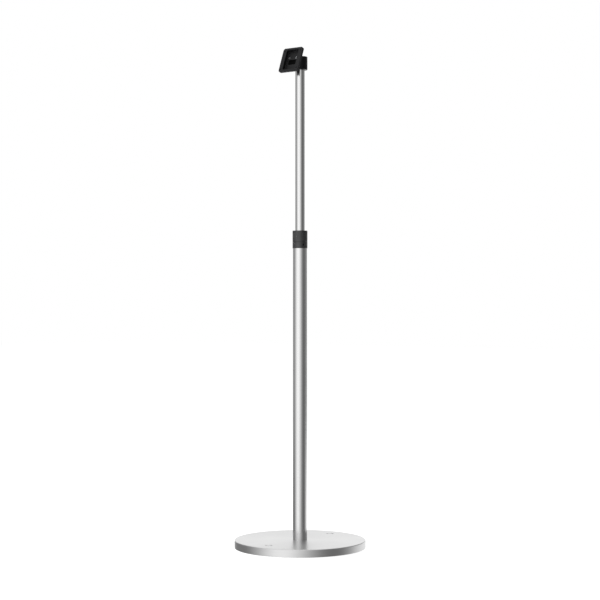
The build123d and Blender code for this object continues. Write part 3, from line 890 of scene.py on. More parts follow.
@dataclass
class RoundBase(Assembly):
    """The weighted base: a spun cover, its weight, feet, floor-anchor cups and what holds the pole's foot.

    Each foot has a dish under it: its radius at the rim, its depth, and how far inside the rim its leaning
    side ends and its flat begins.
    """

    wall: float = 1.5 * MM
    edge: float = 2.0 * MM
    hem: float = 0.4 * MM
    bore_edge: float = 0.15 * MM
    foot_circle: float = 150 * MM
    foot_count: int = 6
    foot_dish: float = 8.4 * MM
    dish_depth: float = 0.5 * MM
    dish_lean: float = 0.4 * MM
    dish_flat: float = 0.6 * MM
    cup_hole: float = 4.5 * MM
    cup_wall: float = 1.0 * MM
    cover_sides: int = 288
    cup_sides: int = 96
    foot_sides: int = 72

    def cover(self) -> Piece:
        """The cover: a flat top with a rounded rim, a straight side and a bore for the pole.

        Returns:
            The cover, with a hole for each cup.
        """
        low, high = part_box("base_cover")
        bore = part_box("lower_tube")[1].x + SEAT
        inner, under = high.x - self.wall, high.z - self.wall
        corners = [
            (high.x, low.z, self.hem), (high.x, high.z, self.edge),
            (bore, high.z, self.bore_edge), (bore, under, 0.0),
            (inner, under, self.edge - self.wall), (inner, low.z, self.hem),
        ]
        rim, near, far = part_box("anchor_cups")[1].x + SEAT, high.z - 2 * self.wall, high.z + self.wall
        holes = cuts(*(bar(rim, near, far, place, self.cup_sides) for place in self.cup_places()))
        surface = turned(corners, FLOOR_PLANE, self.cover_sides, Ends.LOOP)
        return finished("spun_cover", surface, Metal.BRUSHED_STAINLESS, "stand", "base_cover", holes)

    def cup_places(self) -> list[Placement]:
        """The two anchor holes' planes on the floor, front and back."""
        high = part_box("anchor_cups")[1]
        return [Placement((0.0, side * (high.y - high.x), 0.0)) for side in (-1, 1)]

    def cups(self) -> Piece:
        """Two cones of 90 degrees, flush with the cover.

        Returns:
            The cups, as one piece.
        """
        low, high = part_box("anchor_cups")
        corners = [
            (self.cup_hole + self.cup_wall, low.z, 0.0), (high.x, high.z, CRISP),
            (high.x - self.cup_wall, high.z, BROKEN), (self.cup_hole, low.z, CRISP),
        ]
        cups = [turned(corners, place, self.cup_sides, Ends.LOOP) for place in self.cup_places()]
        # The cups' steel is drawn lighter than the cover's. That is painted light that lifts the shade inside
        # the countersinks.
        return finished("anchor_cup_pair", together(cups), Metal.TURNED_STAINLESS, "stand", "anchor_cups")

    def feet(self) -> Piece:
        """Round pads on a circle, each with a shallow dish underneath.

        Returns:
            The pads, as one piece.
        """
        low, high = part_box("rubber_feet")
        radius, dish = high.x - self.foot_circle, low.z + self.dish_depth
        corners = [
            (self.foot_dish - self.dish_flat, dish, 0.0), (self.foot_dish - self.dish_lean, dish, BROKEN),
            (self.foot_dish, low.z, BROKEN), (radius, low.z, SOFT),
            (radius, high.z, BROKEN), (radius / 2, high.z, 0.0),
        ]
        angles = [2 * pi * number / self.foot_count for number in range(self.foot_count)]
        places = [Placement((self.foot_circle * cos(a), self.foot_circle * sin(a), 0.0)) for a in angles]
        pads = [turned(corners, place, self.foot_sides, Ends.CAPS) for place in places]
        return finished("rubber_pads", together(pads), Polymer.FOOT_RUBBER, "stand", "rubber_feet")

    def pieces(self) -> Iterator[Piece]:
        """Yields the base's pieces, outer ones first."""
        yield self.cover()
        yield self.cups()
        yield self.feet()
        yield keep("base_weight", Metal.COATED_STEEL)
        for node in ("foot_washer", "foot_spring_washer", "foot_bolt"):
            yield keep(node, Metal.ZINC_PLATE)
        for node in ("foot_plug", "foot_dowel"):
            yield keep(node, Metal.BARE_STEEL)


@dataclass
class Pole(Assembly):
    """The telescopic pole: a lower tube welded to its foot plug, and an upper tube that slides in it."""

    wall: float = 1.5 * MM
    edge: float = 0.25 * MM
    pin_rise: float = 12 * MM
    sides: int = 160

    def tube(self, node: str) -> Surface:
        """Makes a tube as tall and as wide as its node, with its cut edges broken.

        Args:
            node: the tube's node.

        Returns:
            The tube's surface.
        """
        low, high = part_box(node)
        inner = high.x - self.wall
        ring = ((high.x, low.z), (high.x, high.z), (inner, high.z), (inner, low.z))
        return turned([(*corner, self.edge) for corner in ring], FLOOR_PLANE, self.sides, Ends.LOOP)

    def pin_bore(self) -> Surface:
        """Makes a bar across the foot of the upper tube, as wide as its pin holes.

        Returns:
            The bar's surface.
        """
        low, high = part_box("upper_tube")
        place = Placement((0.0, 0.0, low.z + self.pin_rise), X_AXIS, Y_AXIS)
        return bar(PIN_HOLE, -2 * high.x, 2 * high.x, place)

    def pieces(self) -> Iterator[Piece]:
        """Yields the two tubes, then what rides inside them."""
        steel = Metal.POLISHED_STAINLESS
        yield finished("lower_pole", self.tube("lower_tube"), steel, "stand", "lower_tube")
        bore = cuts(self.pin_bore())
        yield finished("upper_pole", self.tube("upper_tube"), steel, "mast", "upper_tube", bore)
        yield keep("guide_bush", Polymer.ACETAL)
        for node in ("bush_pins", "mast_plug", "pan_spring"):
            yield keep(node, Metal.BARE_STEEL)
        yield keep("pan_washer", Polymer.ACETAL)
        yield keep("pan_bolt", Metal.ZINC_PLATE)


@dataclass
class CollarLock(Assembly):
    """The height lock: a collar with a socket screw, and a fluted nut that closes a collet on the tube.

    The pocket holds the collet. The screw's bore gets wider by its sink, from its sink's depth outwards. The
    margin is what the flutes leave plain at each end of the nut, and the clearance is the nut's, round the
    collar's neck and the collet.
    """

    tube_wall: float = 1.5 * MM
    seam: float = 0.3 * MM
    neck_radius: float = 16.5 * MM
    pocket_radius: float = 14.4 * MM
    pocket_depth: float = 6.0 * MM
    edge: float = 0.6 * MM
    shoulder_edge: float = 0.35 * MM
    collar_sides: int = 192
    screw_rise: float = 9.0 * MM
    screw_angle: float = -24.0
    screw_sink: float = 0.6 * MM
    screw_sink_depth: float = 0.35 * MM
    flutes: int = 30
    flute_sides: int = 16
    flute_steps: int = 4
    flute_depth: float = 0.3 * MM
    flute_half_width: float = 0.8 * MM
    flute_margin: float = 4.0 * MM
    flute_run_out: float = 1.2 * MM
    clearance: float = 0.15 * MM
    taper_low_radius: float = 16.35 * MM
    taper_high_radius: float = 14.55 * MM
    wiper_radius: float = 15.0 * MM
    lip: float = 1.2 * MM

    def screw_place(self) -> Placement:
        """Finds the height screw's plane.

        Returns:
            The plane at the screw's inner end, facing outwards.
        """
        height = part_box("lower_tube")[1].z + self.screw_rise
        angle, start = radians(self.screw_angle), POLE_BORE - TIP_PROUD
        outward = (cos(angle), sin(angle), 0.0)
        return Placement((start * outward[0], start * outward[1], height), outward, Z_AXIS)

    def collar(self) -> Piece:
        """The collar: a spigot in the lower tube, a shoulder on its end and a neck under the nut.

        Returns:
            The collar, with its screw's countersunk bore.
        """
        low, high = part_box("collar_body")
        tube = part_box("lower_tube")[1]
        shoulder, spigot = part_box("lock_nut")[0].z - self.seam, tube.x - self.tube_wall - SEAT
        radius, pocket = high.x, high.z - self.pocket_depth
        corners = [
            (spigot, low.z, ROUNDED), (spigot, tube.z, 0.0),
            (radius, tube.z, self.shoulder_edge), (radius, shoulder, self.edge),
            (self.neck_radius, shoulder, BROKEN), (self.neck_radius, high.z, ROUNDED),
            (self.pocket_radius, high.z, BROKEN), (self.pocket_radius, pocket, 0.0),
            (POLE_BORE, pocket, BROKEN), (POLE_BORE, low.z, ROUNDED),
        ]
        hole, reach = SET_SCREW_RADIUS + SEAT, radius - POLE_BORE + TIP_PROUD
        wide, start = hole + self.screw_sink, reach - self.screw_sink_depth
        countersunk = [
            (hole, -OVERRUN, 0.0), (hole, start, 0.0),
            (wide, start + self.screw_sink, 0.0), (wide, reach + OVERRUN, 0.0),
        ]
        bore = cuts(turned(countersunk, self.screw_place(), HOLE_SIDES, Ends.CAPS))
        surface = turned(corners, FLOOR_PLANE, self.collar_sides, Ends.LOOP)
        return finished("collar_moulding", surface, Polymer.BLACK_NYLON, "stand", "collar_body", bore)

    def height_screw(self) -> Piece:
        """The socket screw in the collar."""
        surface = set_screw(self.screw_place())
        return finished("height_set_screw", surface, Metal.BLACK_OXIDE, "stand", "height_screw")

    def nut(self) -> Piece:
        """The nut: a fluted drum with rounded ends, a tapered bore and a groove for the wiper.

        The flutes' depth grows from 0 by the sine of a quarter turn and their place moves on by one minus its
        cosine, so that they run out in a round at both ends.

        Returns:
            The nut.
        """
        low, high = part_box("lock_nut")
        radius, neck = high.x, self.neck_radius + self.clearance
        first, last = low.z + self.flute_margin, high.z - self.flute_margin
        taper_low, taper_high = (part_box(node)[1].z + self.clearance for node in ("collar_body", "collet"))
        wiper_low, wiper_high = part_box("wiper_ring")[0].z, high.z - self.lip
        foot = filleted([(POLE_BORE, low.z, 0.0), (radius, low.z, self.edge), (radius, first, 0.0)])[1:]
        crown = filleted([
            (radius, last, 0.0), (radius, high.z, self.edge),
            (POLE_BORE, high.z, EASED), (POLE_BORE, wiper_high, 0.0),
        ])
        inner = [
            (self.wiper_radius, wiper_high), (self.wiper_radius, wiper_low),
            (POLE_BORE, wiper_low), (POLE_BORE, taper_high),
            (self.taper_high_radius, taper_high), (self.taper_low_radius, taper_low),
            (neck, taper_low), (neck, low.z),
        ]
        levels = [Level(Round(), grow, height) for grow, height in foot]
        quarter = np.linspace(0, pi / 2, self.flute_steps + 1)[1:]
        for end, way in ((first, 1), (last, -1)):
            for share in quarter[::way]:
                flute = Fluted(self.flutes, self.flute_depth * sin(share), self.flute_half_width)
                levels.append(Level(flute, radius, end + way * self.flute_run_out * (1 - cos(share))))
        levels += [Level(Round(), grow, height) for grow, height in [*crown, *inner]]
        surface = stacked(levels, FLOOR_PLANE, self.flutes * self.flute_sides, Ends.LOOP)
        return finished("lock_nut_moulding", surface, Polymer.BLACK_NYLON, "lock", "lock_nut")

    def pieces(self) -> Iterator[Piece]:
        """Yields the lock's pieces, from the collar up."""
        yield self.collar()
        yield self.height_screw()
        yield keep("collet", Polymer.ACETAL)
        yield self.nut()
        yield keep("wiper_ring", Polymer.FELT)


def pivot_point() -> Triple:
    """The tilt pivot's place, in the middle between the ears, from the record's joint."""
    tilt = next(joint for joint in frame["joints"] if joint["name"] == "plate_tilt")
    return tuple(tilt["pos_m"])


@dataclass
class TurningHead(Assembly):
    """The head on the upper tube: a hub that turns, its cap and lock screw, and the pivot in its ears.

    The web is the hub's wall that the pan bolt clamps, and the swing is the slot's clearance round the lug.
    """

    edge: float = 1.2 * MM
    bolt_hole: float = 4.25 * MM
    mouth_chamfer: float = 0.5 * MM
    cavity: float = 9.0 * MM
    web: float = 5.0 * MM
    cap_radius: float = 11.0 * MM
    cap_thickness: float = 1.5 * MM
    cap_wall: float = 1.2 * MM
    cap_sides: int = 120
    ear_radius: float = 5.6 * MM
    ear_inside: float = 5.2 * MM
    ear_outside: float = 11.0 * MM
    ear_root: float = 6.0 * MM
    ear_sides: int = 66
    swing: float = 0.5 * MM
    spot_face: float = 4.5 * MM
    slope: float = 60.0
    lock_screw_rise: float = 8.0 * MM
    hub_sides: int = 144
    hole_sides: int = 72
    bolt_radius: float = 2.0 * MM
    bolt_head: float = 3.5 * MM
    bolt_head_edge: float = 0.15 * MM
    bolt_socket: float = 1.8 * MM
    bolt_knurls: int = 24
    nut_flats: float = 7.0 * MM
    nut_chamfer: float = 0.45 * MM
    nut_lead: float = 0.25 * MM
    nut_face_inset: float = 0.1 * MM
    nut_sides: int = 96
    washer_radius: float = 5.0 * MM
    washer_thickness: float = 0.7 * MM
    washer_edge: float = 0.12 * MM

    @property
    def pivot_plane(self) -> Placement:
        """The plane through the pivot that faces +X."""
        return Placement(pivot_point(), X_AXIS, Y_AXIS)

    @property
    def lock_screw_plane(self) -> Placement:
        """The hub's lock screw's plane, at its inner end and facing back."""
        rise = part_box("hub")[0].z + self.lock_screw_rise
        return Placement((0.0, POLE_BORE - TIP_PROUD, rise), Y_AXIS, X_AXIS)

    def hollow(self) -> Surface:
        """Makes the hub's bore, bolt hole, cavity and cap recess, in one stepped bar.

        Returns:
            The bar's surface.
        """
        low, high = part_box("hub")
        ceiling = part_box("pan_washer")[1].z + SEAT
        floor, seat, recess = ceiling + self.web, high.z - self.cap_thickness, self.cap_radius + SEAT
        mouth = POLE_BORE + self.mouth_chamfer
        corners = [
            (mouth, low.z - OVERRUN, 0.0), (mouth, low.z, 0.0),
            (POLE_BORE, low.z + self.mouth_chamfer, 0.0), (POLE_BORE, ceiling, 0.0),
            (self.bolt_hole, ceiling, 0.0), (self.bolt_hole, floor, 0.0),
            (self.cavity, floor, 0.0), (self.cavity, seat, 0.0),
            (recess, seat, 0.0), (recess, high.z + OVERRUN, 0.0),
        ]
        return turned(corners, FLOOR_PLANE, self.hub_sides, Ends.CAPS)

    def hub(self) -> Piece:
        """The casting: a short drum with a sloped front and two ears, slotted between them.

        The slope lies just clear of the ears' round ends, and the slot lies a swing clear of the lug's.

        Returns:
            The hub.
        """
        low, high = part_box("hub")
        radius, pivot = high.x, self.pivot_plane
        corners = [
            (radius / 2, low.z, 0.0), (radius, low.z, self.edge),
            (radius, high.z, self.edge), (radius / 2, high.z, 0.0),
        ]
        drum = turned(corners, FLOOR_PLANE, self.hub_sides, Ends.CAPS)
        tilt, start = radians(self.slope), self.ear_radius + SEAT
        slope = Placement(pivot_point(), (0.0, -cos(tilt), sin(tilt)))
        wide = RoundedRectangle(4 * radius, 4 * radius)
        wedge = extruded(wide, slope, start, start + 2 * radius, 0.0, FOUR_CORNERS)
        lug = Lug(self.ear_radius, self.ear_root)
        ears = extruded(lug, pivot, -self.ear_outside, self.ear_outside, ROUNDED, self.ear_sides)
        gap, deep, tall = self.ear_radius + self.swing, radius, 2 * radius
        middle = pivot.moved(gap - deep / 2, tall / 2 - gap, 0.0)
        gate = RoundedRectangle(deep, tall)
        slot = extruded(gate, middle, -self.ear_inside, self.ear_inside, 0.0, FOUR_CORNERS)
        through = bar(PIN_HOLE, -2 * radius, 2 * radius, pivot, self.hole_sides)
        right = bar(self.spot_face, self.ear_outside, radius, pivot, self.hole_sides)
        left = bar(self.spot_face, -radius, -self.ear_outside, pivot, self.hole_sides)
        hole, reach = SET_SCREW_RADIUS + SEAT, radius - POLE_BORE + 2 * OVERRUN
        lock_bore = bar(hole, -OVERRUN, reach, self.lock_screw_plane, self.hole_sides)
        holes = cuts(slot, through, right, left, self.hollow(), lock_bore)
        steps = [*cuts(wedge), (Change.JOIN, ears), *holes]
        return finished("hub_casting", drum, Metal.POWDER_COAT, "head", "hub", steps)

    def cap(self) -> Piece:
        """The push-in cap: a thin disc with a short spigot.

        Returns:
            The cap.
        """
        low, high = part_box("hub_cap")
        seat, spigot = high.z - self.cap_thickness, self.cavity - SEAT
        hollow = spigot - self.cap_wall
        corners = [
            (spigot - 2 * self.cap_thickness, seat, 0.0), (hollow, seat, EASED),
            (hollow, low.z, EASED), (spigot, low.z, SOFT),
            (spigot, seat, 0.0), (self.cap_radius, seat, BROKEN),
            (self.cap_radius, high.z, ROUNDED), (self.cap_radius / 2, high.z, 0.0),
        ]
        surface = turned(corners, FLOOR_PLANE, self.cap_sides, Ends.CAPS)
        return finished("hub_cap_disc", surface, Polymer.BLACK_NYLON, "head", "hub_cap")

    def lock_screw(self) -> Piece:
        """The socket screw at the back of the hub."""
        surface = set_screw(self.lock_screw_plane)
        return finished("pan_set_screw", surface, Metal.BLACK_OXIDE, "head", "hub_lock_screw")

    def tilt_bolt(self) -> Piece:
        """The pivot's cap screw, with a finely fluted head.

        Returns:
            The bolt.
        """
        low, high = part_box("tilt_bolt")
        profile = [
            (SCREW_TIP, low.x, 0.0), (self.bolt_radius, low.x, SOFT),
            (self.bolt_radius, self.ear_outside, 0.0),
            (self.bolt_head, self.ear_outside, self.bolt_head_edge), (self.bolt_head, high.x, SOFT),
        ]
        surface = socket_screw(profile, self.bolt_socket, self.pivot_plane, self.bolt_knurls)
        return finished("tilt_cap_screw", surface, Metal.BLACK_OXIDE, "head", "tilt_bolt")

    def tilt_nut(self) -> Piece:
        """A hexagon nut with its corners turned off at both faces.

        Returns:
            The nut.
        """
        low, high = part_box("tilt_nut")
        mouth, half = PIN_HOLE + self.nut_lead, self.nut_flats / 2
        face = Hexagon(self.nut_flats, half - self.nut_face_inset)
        full = Hexagon(self.nut_flats, half / cos(pi / 6))
        levels = [
            Level(Round(), mouth, low.x),
            Level(face, 0.0, low.x),
            Level(full, 0.0, low.x + self.nut_chamfer),
            Level(full, 0.0, high.x - self.nut_chamfer),
            Level(face, 0.0, high.x),
            Level(Round(), mouth, high.x),
            Level(Round(), PIN_HOLE, high.x - self.nut_lead),
            Level(Round(), PIN_HOLE, low.x + self.nut_lead),
        ]
        surface = stacked(levels, self.pivot_plane, self.nut_sides, Ends.LOOP)
        return finished("tilt_lock_nut", surface, Metal.BLACK_OXIDE, "head", "tilt_nut")

    def washers(self) -> Piece:
        """Two slip washers, one each side of the bracket's lug.

        Returns:
            The washers, as one piece.
        """
        low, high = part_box("tilt_washers")
        rings = []
        for near in (low.x, high.x - self.washer_thickness):
            far = near + self.washer_thickness
            corners = [
                (self.washer_radius, near, self.washer_edge), (self.washer_radius, far, self.washer_edge),
                (PIN_HOLE, far, CRISP), (PIN_HOLE, near, CRISP),
            ]
            rings.append(turned(corners, self.pivot_plane, self.hole_sides, Ends.LOOP))
        return finished("tilt_slip_washers", together(rings), Polymer.ACETAL, "head", "tilt_washers")

    def pieces(self) -> Iterator[Piece]:
        """Yields the head's pieces."""
        yield self.hub()
        yield self.cap()
        yield self.lock_screw()
        yield self.tilt_bolt()
        yield self.tilt_nut()
        yield self.washers()


@dataclass
class TerminalTray(Assembly):
    """What tilts: the terminal plate, the bracket behind it and the two screws between them.

    The skirt is how far the rim reaches back. The offsets are sideways and, for the four holes, also up and
    down from the plate's middle, and the window's middle lies a drop below it. A screw's shoulder is a
    corner of its profile: radius, height and fillet.
    """

    tilt: float = 21.0
    pivot_back: float = 20.1 * MM
    pivot_above: float = 9.0 * MM
    width: float = 65 * MM
    height: float = 70 * MM
    corner: float = 6.5 * MM
    skirt: float = 6.5 * MM
    skirt_wall: float = 2.0 * MM
    front_wall: float = 2.5 * MM
    edge: float = 0.8 * MM
    fine_edge: float = 0.4 * MM
    soft_edge: float = 1.0 * MM
    hollow_corner: float = 0.8 * MM
    rim_points: int = 64
    pan_width: float = 40 * MM
    pan_height: float = 58 * MM
    pan_depth: float = 9.5 * MM
    pan_floor: float = 2.0 * MM
    pan_wall: float = 2.0 * MM
    pan_corner: float = 3.0 * MM
    window_width: float = 26 * MM
    window_height: float = 14 * MM
    window_drop: float = 3.5 * MM
    window_corner: float = 2.0 * MM
    hole_offset: float = 26 * MM
    hole: float = 1.6 * MM
    hole_sink: float = 0.4 * MM
    boss: float = 3.4 * MM
    boss_core: float = 0.5 * MM
    boss_sink: float = 0.2 * MM
    screw_offset: float = 12 * MM
    screw_hole: float = 2.15 * MM
    screw_radius: float = 2.0 * MM
    screw_head: float = 3.6 * MM
    screw_head_height: float = 2.2 * MM
    screw_rim: float = 0.5 * MM
    screw_shoulder: Triple = (3.1 * MM, 1.6 * MM, 0.8 * MM)
    screw_crown: float = 2.1 * MM
    screw_socket: float = 1.4 * MM
    flange_width: float = 34 * MM
    flange_above_pivot: float = 6 * MM
    flange_below_window: float = 2 * MM
    flange_thickness: float = 2.5 * MM
    flange_corner: float = 2.0 * MM
    flange_points: int = 32
    lug_half_width: float = 4.45 * MM
    lug_radius: float = 5.6 * MM
    lug_sides: int = 66

    @property
    def facing(self) -> Triple:
        """The way the plate faces."""
        tilt = radians(self.tilt)
        return (0.0, -cos(tilt), sin(tilt))

    @property
    def front(self) -> Placement:
        """The plate's front plane, at its centre."""
        pivot = Placement(pivot_point(), self.facing)
        return pivot.moved(0.0, -self.pivot_above, self.pivot_back)

    @property
    def back(self) -> float:
        """The depth of the pan's back behind the front plane."""
        return self.pan_depth + self.pan_floor

    def screw_places(self, depth: float) -> list[Placement]:
        """The two screws' planes, left and right, at a depth behind the front plane."""
        sides = (-self.screw_offset, self.screw_offset)
        return [self.front.moved(across, self.pivot_above, -depth) for across in sides]

    def section(self) -> list[Level]:
        """Draws the plate's section: rim, skirt, back of the flanges, pan, window and back to the front.

        Returns:
            The section's levels, as heights above the front plane.
        """
        rim = RoundedRectangle(self.width, self.height, self.corner)
        inside = rim.grown(-self.skirt_wall)
        pan = RoundedRectangle(self.pan_width, self.pan_height, self.pan_corner)
        shell = pan.grown(self.pan_wall)
        drop = -self.window_drop
        window = RoundedRectangle(self.window_width, self.window_height, self.window_corner, drop)
        fine, hollow, soft = self.fine_edge, self.hollow_corner, self.soft_edge
        return [
            *quarter_round(rim, -self.edge, self.edge, self.edge, 90),
            *quarter_round(rim, -fine, self.skirt - fine, fine, 0),
            *quarter_round(inside, fine, self.skirt - fine, fine, 270),
            *quarter_round(inside, -hollow, self.front_wall + hollow, hollow, 0, 90),
            *quarter_round(shell, hollow, self.front_wall + hollow, hollow, 90, 90),
            *quarter_round(shell, -soft, self.back - soft, soft, 0),
            *quarter_round(window, fine, self.back - fine, fine, 270),
            *quarter_round(window, fine, self.pan_depth + fine, fine, 180),
            *quarter_round(pan, -soft, self.pan_depth - soft, soft, 270, 90),
            *quarter_round(pan, fine, fine, fine, 180),
        ]

    def plate(self) -> Piece:
        """The moulding, with four screw holes and their bosses and two holes in the pan's floor.

        Returns:
            The plate.
        """
        top = self.boss_sink - self.front_wall
        boss = [
            (self.boss_core, -self.skirt, 0.0), (self.boss, -self.skirt, SOFT),
            (self.boss, top, 0.0), (self.boss_core, top, 0.0),
        ]
        bore = [
            (self.hole, -2 * self.skirt, 0.0), (self.hole, -self.hole_sink, 0.0),
            (self.hole + 2 * self.hole_sink, self.hole_sink, 0.0),
        ]
        steps = []
        for across in (-self.hole_offset, self.hole_offset):
            for up in (-self.hole_offset, self.hole_offset):
                place = self.front.moved(across, up, 0.0)
                steps.append((Change.JOIN, turned(boss, place, HOLE_SIDES, Ends.CAPS)))
                steps += cuts(turned(bore, place, HOLE_SIDES, Ends.CAPS))
        for place in self.screw_places(self.pan_depth):
            steps += cuts(bar(self.screw_hole, -2 * self.pan_floor, self.pan_floor, place))
        surface = stacked(self.section(), self.front, self.rim_points, Ends.LOOP)
        finish = Polymer.BLACK_MOULDING
        return finished("terminal_plate_moulding", surface, finish, "tray", "terminal_plate", steps)

    def bracket(self) -> Piece:
        """The bracket: a flange behind the pan and a round-ended lug on the pivot.

        Returns:
            The bracket, with its bore and its two screw holes.
        """
        top = self.pivot_above + self.flange_above_pivot
        bottom = -self.window_drop - self.window_height / 2 - self.flange_below_window
        middle, thickness = (top + bottom) / 2, self.flange_thickness
        outline = RoundedRectangle(self.flange_width, top - bottom, self.flange_corner, middle)
        near, far = -self.back - thickness, -self.back
        flange = extruded(outline, self.front, near, far, EASED, self.flange_points)
        pivot, half = Placement(pivot_point(), X_AXIS, self.facing), self.lug_half_width
        end = Lug(self.lug_radius, self.pivot_back - self.back - thickness / 2)
        lug = extruded(end, pivot, -half, half, SOFT, self.lug_sides)
        holes = (bar(PIN_HOLE, -2 * thickness, thickness, place) for place in self.screw_places(self.back))
        steps = [(Change.JOIN, lug), *cuts(bar(PIN_HOLE, -2 * half, 2 * half, pivot), *holes)]
        # The flange behind the window wears the coat whose near-black colour and faint sheen are painted
        # shade.
        return finished("tilt_bracket_casting", flange, Metal.MATT_COAT_PAINTED_SHADE, "tray", "tilt_bracket", steps)

    def screws(self) -> Piece:
        """Two button-head screws through the pan's floor.

        A button's round is one wide fillet, on a corner between its edge and its flat crown.

        Returns:
            The screws, as one piece.
        """
        tip, places = -self.pan_floor - self.flange_thickness, self.screw_places(self.pan_depth)
        profile = [
            (SCREW_TIP, tip, 0.0), (self.screw_radius, tip, SOFT),
            (self.screw_radius, 0.0, 0.0), (self.screw_head, 0.0, CRISP),
            (self.screw_head, self.screw_rim, CRISP), self.screw_shoulder,
            (self.screw_crown, self.screw_head_height, SOFT),
        ]
        screws = [socket_screw(profile, self.screw_socket, place) for place in places]
        return finished("plate_button_screws", together(screws), Metal.ZINC_FLAKE, "tray", "plate_screws")

    def pieces(self) -> Iterator[Piece]:
        """Yields the tray's pieces, front first."""
        yield self.plate()
        yield self.bracket()
        yield self.screws()


# Studio

@dataclass(frozen=True)
class SoftBox:
    """A square lamp that faces the middle of the stand and stays out of reflections.

    The azimuth is in degrees from the camera's direction, positive to the right. The distance is from the
    pole, and the power is in watts.
    """

    name: str
    azimuth: float
    distance: float
    height: float
    size: float
    power: float


def ray_kinds(tree: Tree) -> tuple[Socket, Socket]:
    """Tells what kind of ray sees a surface.

    Args:
        tree: the node tree.

    Returns:
        Two sockets: 1 for the camera's own rays, and 1 for rays seen in gloss or through a surface.
    """
    rays = add_node(tree, "LightPath").outputs
    gloss = {0: rays["Is Glossy Ray"], 1: rays["Is Transmission Ray"]}
    return rays["Is Camera Ray"], add_node(tree, "Math", gloss, operation="MAXIMUM").outputs[0]


